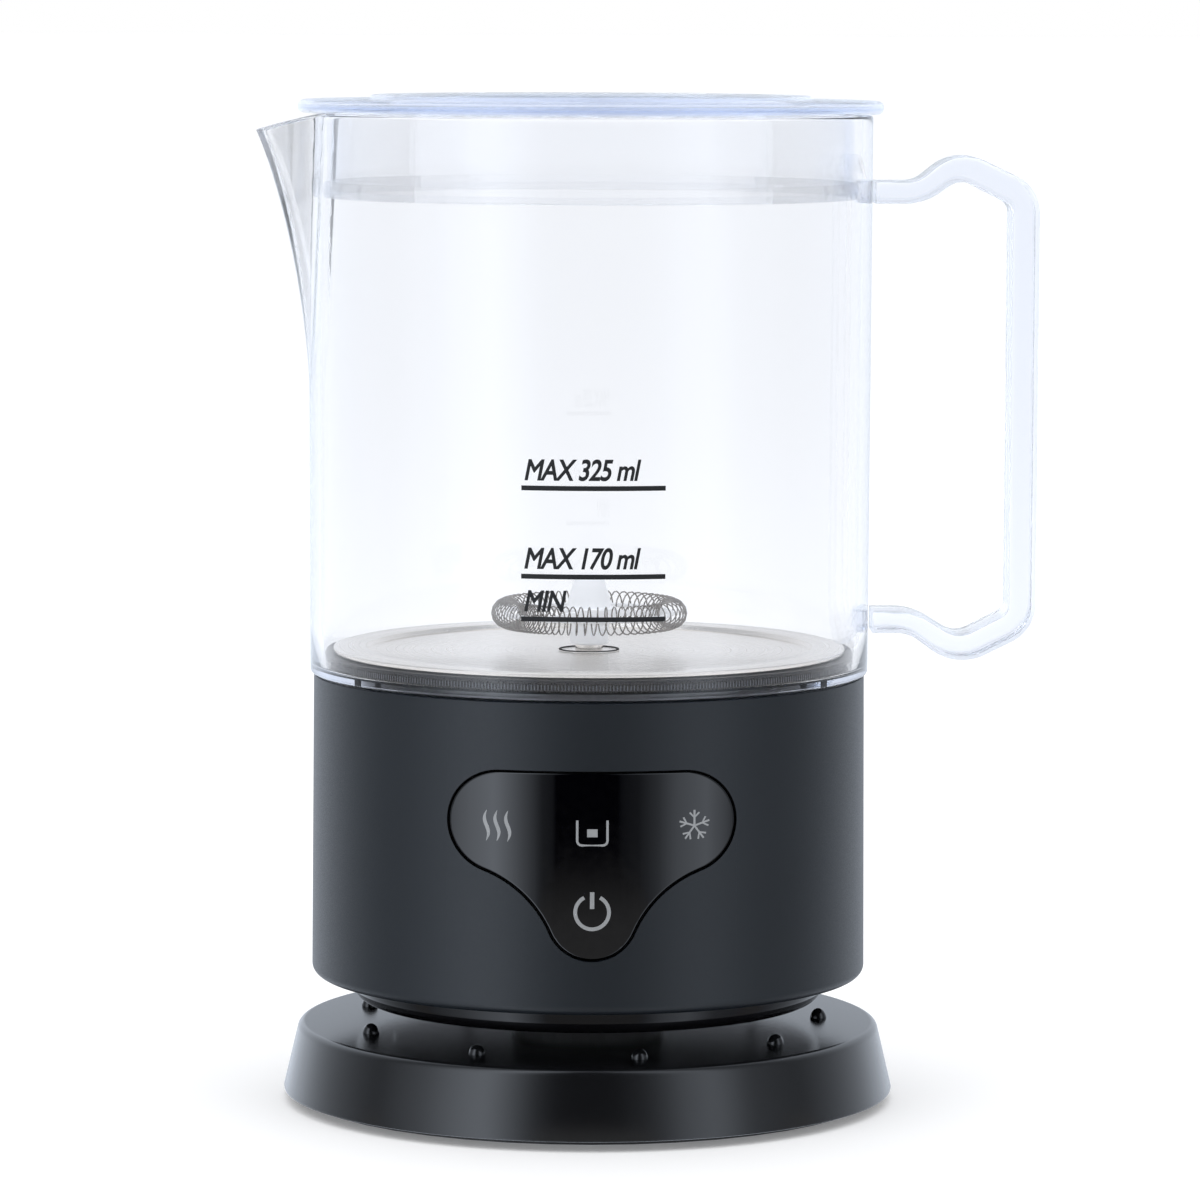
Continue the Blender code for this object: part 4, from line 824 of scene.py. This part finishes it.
bm = bmesh.new()
spun(bm, [(RING_R + x, RING_Z + z) for x, z in arc(0.0, 0.0, CORE_R, 0, 315, 7)], 120)
collar_in = HUB_R + 0.3
spun(bm, [(collar_in, RING_Z - 1.2), (collar_in + 0.8, RING_Z - 1.2), (collar_in + 1.0, RING_Z - 1.0),
          (collar_in + 1.0, RING_Z + 1.0), (collar_in + 0.8, RING_Z + 1.2),
          (collar_in, RING_Z + 1.2)], 64)
for k in range(3):
    spoke = bmesh.ops.create_cube(bm, size=1.0)["verts"]
    bmesh.ops.scale(bm, vec=(RING_R - collar_in - 1.0, 0.9, 1.2), verts=spoke)
    bmesh.ops.translate(bm, vec=((RING_R + collar_in) / 2 + 0.2, 0.0, RING_Z), verts=spoke)
    bmesh.ops.rotate(bm, cent=(0, 0, 0), matrix=Matrix.Rotation(math.tau * k / 3, 3, "Z"), verts=spoke)
fit(finish_mesh(bm, "whisk_frame", hub_plastic_painted_glow), "whisk", "clear_plastic", "whisk_ring")


def coil_bearing(share):
    """Bearing of the coil at a share of its turns: they are crowded together on one side."""
    crowd = min(max((share - CROWD_FROM) / CROWD_SPAN, 0.0), 1.0)
    crowd = crowd * crowd * (3 - 2 * crowd)
    return math.tau * (share - CROWD_PULL * (crowd - share))


wire = bpy.data.curves.new("whisk_spring", "CURVE")
wire.dimensions = "3D"
wire.bevel_depth = WIRE_R * MM
wire.bevel_resolution = 1
count = TURNS * TURN_STEPS
spline = wire.splines.new("POLY")
spline.points.add(count - 1)
spline.use_cyclic_u = True
for k, spot in enumerate(spline.points):
    bearing = coil_bearing(k / count)
    twist = math.tau * k / TURN_STEPS
    out = RING_R + COIL_R * math.cos(twist)
    spot.co = (out * math.cos(bearing) * MM, out * math.sin(bearing) * MM,
               (RING_Z + COIL_R * math.sin(twist)) * MM, 1.0)
holder = bpy.data.objects.new("whisk_spring_line", wire)
mesh = bpy.data.meshes.new_from_object(holder)
bpy.data.objects.remove(holder)
mesh.shade_smooth()
mesh.materials.clear()
mesh.materials.append(wire_steel)
spring = bpy.data.objects.new("whisk_spring", mesh)
bpy.context.collection.objects.link(spring)
fit(spring, "whisk", "stainless", "whisk_coil")


# ---------------------------------------------------------------- handle
# Clear solid moulding of rectangular section with rounded edges, welded to the wall by two small
# pads. The upper arm rises into a thumb rest, and the lower arm bends down to match it.

HANDLE_LOW, HANDLE_HIGH = node_box("handle")
HANDLE_W = HANDLE_HIGH.y - HANDLE_LOW.y
ARM_T = 4.5
GRIP_T = 5.6
grip_x = HANDLE_HIGH.x - GRIP_T / 2
wall_x = HANDLE_LOW.x
upper_z = RIM_Z - 15.35
lower_z = JUG_LOW.z + 10.55


def rounded_path(points, radii, steps=12):
    """A path through the points, with an arc of the given radius at each inner corner."""
    path = [Vector(points[0])]
    for before, corner, after, radius in zip(points, points[1:], points[2:], radii):
        corner = Vector(corner)
        back = (Vector(before) - corner).normalized()
        ahead = (Vector(after) - corner).normalized()
        half = back.angle(ahead) / 2
        reach = radius / math.tan(half)
        centre = corner + (back + ahead).normalized() * (radius / math.sin(half))
        start = corner + back * reach - centre
        turn = start.angle_signed(corner + ahead * reach - centre)
        for k in range(steps + 1):
            a = -turn * k / steps
            path.append(centre + Vector((start.x * math.cos(a) - start.y * math.sin(a),
                                         start.x * math.sin(a) + start.y * math.cos(a))))
    path.append(Vector(points[-1]))
    return path


path = rounded_path([
    (wall_x, upper_z), (wall_x + 9.0, upper_z), (grip_x - 13.4, upper_z + 5.9), (grip_x, upper_z - 0.7),
    (grip_x, lower_z + 0.2), (grip_x - 12.9, lower_z - 6.3), (wall_x + 8.0, lower_z),
    (wall_x, lower_z)], (9.0, 7.0, 5.5, 5.5, 8.0, 10.0))
outer, inner = [], []
for index, point in enumerate(path):
    along = (path[min(index + 1, len(path) - 1)] - path[max(index - 1, 0)]).normalized()
    share = min(max((point.x - wall_x - 9.0) / (grip_x - 17.0 - wall_x), 0.0), 1.0)
    half = (ARM_T + (GRIP_T - ARM_T) * share) / 2
    outer.append(tuple(point + Vector((-along.y, along.x)) * half))
    inner.append(tuple(point - Vector((-along.y, along.x)) * half))
bm = bmesh.new()
flat_prism(bm, outer + inner[::-1], -HANDLE_W / 2, HANDLE_W / 2)
rims = [edge for edge in bm.edges
        if abs(edge.verts[0].co.y - edge.verts[1].co.y) < 0.01 and edge.calc_length() > 0.0]
bmesh.ops.bevel(bm, geom=rims, offset=1.0, segments=4, profile=0.5, affect="EDGES", material=-1,
                clamp_overlap=True)
handle_plastic = clear_plastic("handle_copolyester", (0.33, 0.51, 0.86), 16.0, 30.0, 0.004, 0.8, 1.45)
handle = finish_mesh(bm, "handle_grip", handle_plastic, 50.0)
even = handle.modifiers.new("even", "WEIGHTED_NORMAL")
even.keep_sharp = True
fit(applied(handle), "unit", "clear_plastic", "handle")


# ---------------------------------------------------------------- lid
# Clear moulded lid: a rounded flange that rests on the jug's rim, a raised middle, and a deep
# skirt whose soft translucent seal grips the inside of the wall.

LID_HIGH = node_box("lid")[1]
LID_R = LID_HIGH.x
LID_Z = RIM_Z + 0.3
LID_T = 2.6
LID_EDGE = 1.1
PLATEAU_R = 45.0
SKIRT_OUT_R = JUG_TOP_R - JUG_WALL - 1.5
SKIRT_WALL = 1.8
SEAL_LOW, SEAL_HIGH = node_box("lid_seal")
lid_top = LID_Z + LID_T
seal_in_r = SKIRT_OUT_R - 0.9
inner_r = SKIRT_OUT_R - SKIRT_WALL
bm = bmesh.new()
spun(bm, [
    (0.0, LID_HIGH.z), (PLATEAU_R - 1.0, LID_HIGH.z),
    *arc(PLATEAU_R - 1.0, lid_top + 0.4, 0.6, 90, 10, 4), (PLATEAU_R - 0.2, lid_top + 0.1),
    (PLATEAU_R, lid_top), *arc(LID_R - LID_EDGE, lid_top - LID_EDGE, LID_EDGE, 90, 0, 6),
    *arc(LID_R - LID_EDGE, LID_Z + LID_EDGE, LID_EDGE, 0, -90, 6),
    (SKIRT_OUT_R + 0.3, LID_Z), (SKIRT_OUT_R, LID_Z - 0.3), (SKIRT_OUT_R, SEAL_HIGH.z + 0.3),
    (seal_in_r, SEAL_HIGH.z + 0.3), (seal_in_r, SEAL_LOW.z), (inner_r + 0.3, SEAL_LOW.z),
    (inner_r, SEAL_LOW.z + 0.3), (inner_r, LID_Z - 0.2), (inner_r - 0.6, LID_Z + 0.4),
    (0.0, LID_Z + 0.4)], 256)
lid_plastic = clear_plastic("lid_copolyester", (0.33, 0.51, 0.86), 10.0, 30.0, 0.004, 0.55, 1.45,
                            thin=("Z", LID_Z + 0.1, LID_Z - 0.4, 0.15))
fit(finish_mesh(bm, "lid_cap", lid_plastic, 40.0), "lid", "clear_plastic", "lid")
seal_soft = clear_plastic("seal_silicone", (0.60, 0.68, 0.85), 40.0, 200.0, 0.01, 0.35)
preset(seal_soft, Roughness=0.25, IOR=1.41)
paint_nodes(seal_soft, "lid_seal")


# ---------------------------------------------------------------- floor, light and camera
# A plain white floor in a white room with soft lights, and a long lens a little above the rim.
# Shiny faces mirror soft upright bands of light; clear pieces look out on an even, pale room.

floor_paint = grained("floor_white", (0.90, 0.90, 0.90), (0.91, 0.91, 0.91), (0.7, 0.8), 0.0)
preset(floor_paint, Emission_Color=(1.0, 1.0, 1.0, 1.0), Emission_Strength=0.16)
bm = bmesh.new()
bmesh.ops.create_grid(bm, x_segments=1, y_segments=1, size=60000.0)
floor = finish_mesh(bm, "floor", floor_paint)
floor.visible_glossy = False

world = bpy.data.worlds.new("white_room")
bpy.context.scene.world = world
world.use_nodes = True
world.cycles.sampling_method = "NONE"
nodes, links = world.node_tree.nodes, world.node_tree.links
nodes.clear()
place = nodes.new("ShaderNodeTexCoord")
apart = nodes.new("ShaderNodeSeparateXYZ")
turned = nodes.new("ShaderNodeMath")
turned.operation = "MULTIPLY"
turned.inputs[1].default_value = -1.0
bearing = nodes.new("ShaderNodeMath")
bearing.operation = "ARCTAN2"
links.new(place.outputs["Generated"], apart.inputs["Vector"])
links.new(apart.outputs["Y"], turned.inputs[0])
links.new(apart.outputs["X"], bearing.inputs[0])
links.new(turned.outputs["Value"], bearing.inputs[1])
share = remap(world.node_tree, bearing.outputs["Value"], -math.pi, math.pi)
ramp = nodes.new("ShaderNodeValToRGB")
ramp.color_ramp.interpolation = "LINEAR"
# Brightness of the mirrored room at each bearing in degrees; 0 is in front of the object.
stops = [(-180, 0.6), (-171, 1.25), (-140, 1.35), (-115, 0.8), (-88, 0.3), (-66, 1.1), (-50, 2.3), (-40, 2.9),
         (-28, 1.2), (-20, 0.25), (-15.5, 0.14), (-14, 0.0), (11.5, 0.0), (13, 0.09), (20, 0.17), (28, 0.55),
         (36, 1.3), (49, 1.9), (64, 0.6), (88, 0.3), (115, 0.8), (140, 1.2), (171, 1.0), (180, 0.6)]
marks = ramp.color_ramp.elements
while len(marks) > 1:
    marks.remove(marks[-1])
marks[0].position = 0.0
for degrees, _ in stops[1:]:
    marks.new((degrees + 180.0) / 360.0)
for mark, (_, value) in zip(marks, stops):
    mark.color = (value * 0.92, value, value * 1.12, 1.0)
links.new(share, ramp.inputs["Fac"])
near = nodes.new("ShaderNodeMapRange")
near.interpolation_type = "SMOOTHSTEP"
near.inputs["From Min"].default_value = -0.140
near.inputs["From Max"].default_value = -0.158
near.inputs["To Max"].default_value = 0.42
links.new(apart.outputs["Z"], near.inputs["Value"])
brighter = nodes.new("ShaderNodeMix")
brighter.data_type = "RGBA"
brighter.blend_type = "LIGHTEN"
brighter.inputs["Factor"].default_value = 1.0
links.new(ramp.outputs["Color"], brighter.inputs["A"])
links.new(near.outputs["Result"], brighter.inputs["B"])
path_kind = nodes.new("ShaderNodeLightPath")
seen = nodes.new("ShaderNodeMix")
seen.data_type = "RGBA"
seen.inputs["A"].default_value = (0.96, 0.965, 0.98, 1.0)
seen.inputs["B"].default_value = (1.0, 1.0, 1.0, 1.0)
links.new(path_kind.outputs["Is Camera Ray"], seen.inputs["Factor"])
mirrored = nodes.new("ShaderNodeMix")
mirrored.data_type = "RGBA"
links.new(path_kind.outputs["Is Glossy Ray"], mirrored.inputs["Factor"])
links.new(seen.outputs["Result"], mirrored.inputs["A"])
links.new(brighter.outputs["Result"], mirrored.inputs["B"])
mixer = nodes.new("ShaderNodeMix")
mixer.data_type = "RGBA"
clear_of_front = nodes.new("ShaderNodeMath")
clear_of_front.operation = "MAXIMUM"
links.new(remap(world.node_tree, apart.outputs["Y"], -0.97, -0.6), clear_of_front.inputs[0])
links.new(remap(world.node_tree, apart.outputs["Z"], 0.02, 0.15), clear_of_front.inputs[1])
amount = nodes.new("ShaderNodeMath")
amount.operation = "MULTIPLY"
links.new(clear_of_front.outputs["Value"], amount.inputs[0])
links.new(remap(world.node_tree, apart.outputs["Z"], 0.25, 0.80, 1.0, 0.5), amount.inputs[1])
glow = nodes.new("ShaderNodeMix")
glow.data_type = "RGBA"
glow.inputs["A"].default_value = (0.01, 0.01, 0.015, 1.0)
glow.inputs["B"].default_value = (0.94, 0.955, 0.99, 1.0)
links.new(amount.outputs["Value"], glow.inputs["Factor"])
links.new(glow.outputs["Result"], mixer.inputs["B"])
links.new(path_kind.outputs["Is Transmission Ray"], mixer.inputs["Factor"])
links.new(mirrored.outputs["Result"], mixer.inputs["A"])
sky = nodes.new("ShaderNodeBackground")
sky.inputs["Strength"].default_value = 1.0
links.new(mixer.outputs["Result"], sky.inputs["Color"])
out = nodes.new("ShaderNodeOutputWorld")
links.new(sky.outputs["Background"], out.inputs["Surface"])

for name, spot, size, power in (("soft_left", (-0.9, -0.7, 0.9), 0.9, 2.5),
                                ("soft_right", (0.9, -0.7, 0.9), 0.9, 2.0),
                                ("soft_top", (0.0, 0.1, 1.4), 1.2, 3.0)):
    light = bpy.data.lights.new(name, "AREA")
    light.energy = power
    light.size = size
    lamp = bpy.data.objects.new(name, light)
    lamp.visible_glossy = False
    bpy.context.collection.objects.link(lamp)
    lamp.location = spot
    lamp.rotation_euler = (Vector((0, 0, 0.1)) - Vector(spot)).to_track_quat("-Z", "Y").to_euler()

CAMERA_SPOT = Vector((-16.5, -1184.7, 220.7))
AIM_X = 2.2
TILT_DEG = 5.718
ROLL_DEG = 0.216
camera_data = bpy.data.cameras.new("camera")
camera_data.lens = 175.4
camera_data.sensor_width = 36.0
camera = bpy.data.objects.new("camera", camera_data)
bpy.context.collection.objects.link(camera)
heading = math.atan2(AIM_X - CAMERA_SPOT.x, -CAMERA_SPOT.y)
camera.matrix_world = (Matrix.Translation(CAMERA_SPOT * MM) @ Matrix.Rotation(-heading, 4, "Z")
                       @ Matrix.Rotation(math.radians(90.0 - TILT_DEG), 4, "X")
                       @ Matrix.Rotation(math.radians(ROLL_DEG), 4, "Z"))
bpy.context.scene.camera = camera
bpy.context.scene.view_settings.view_transform = "Standard"
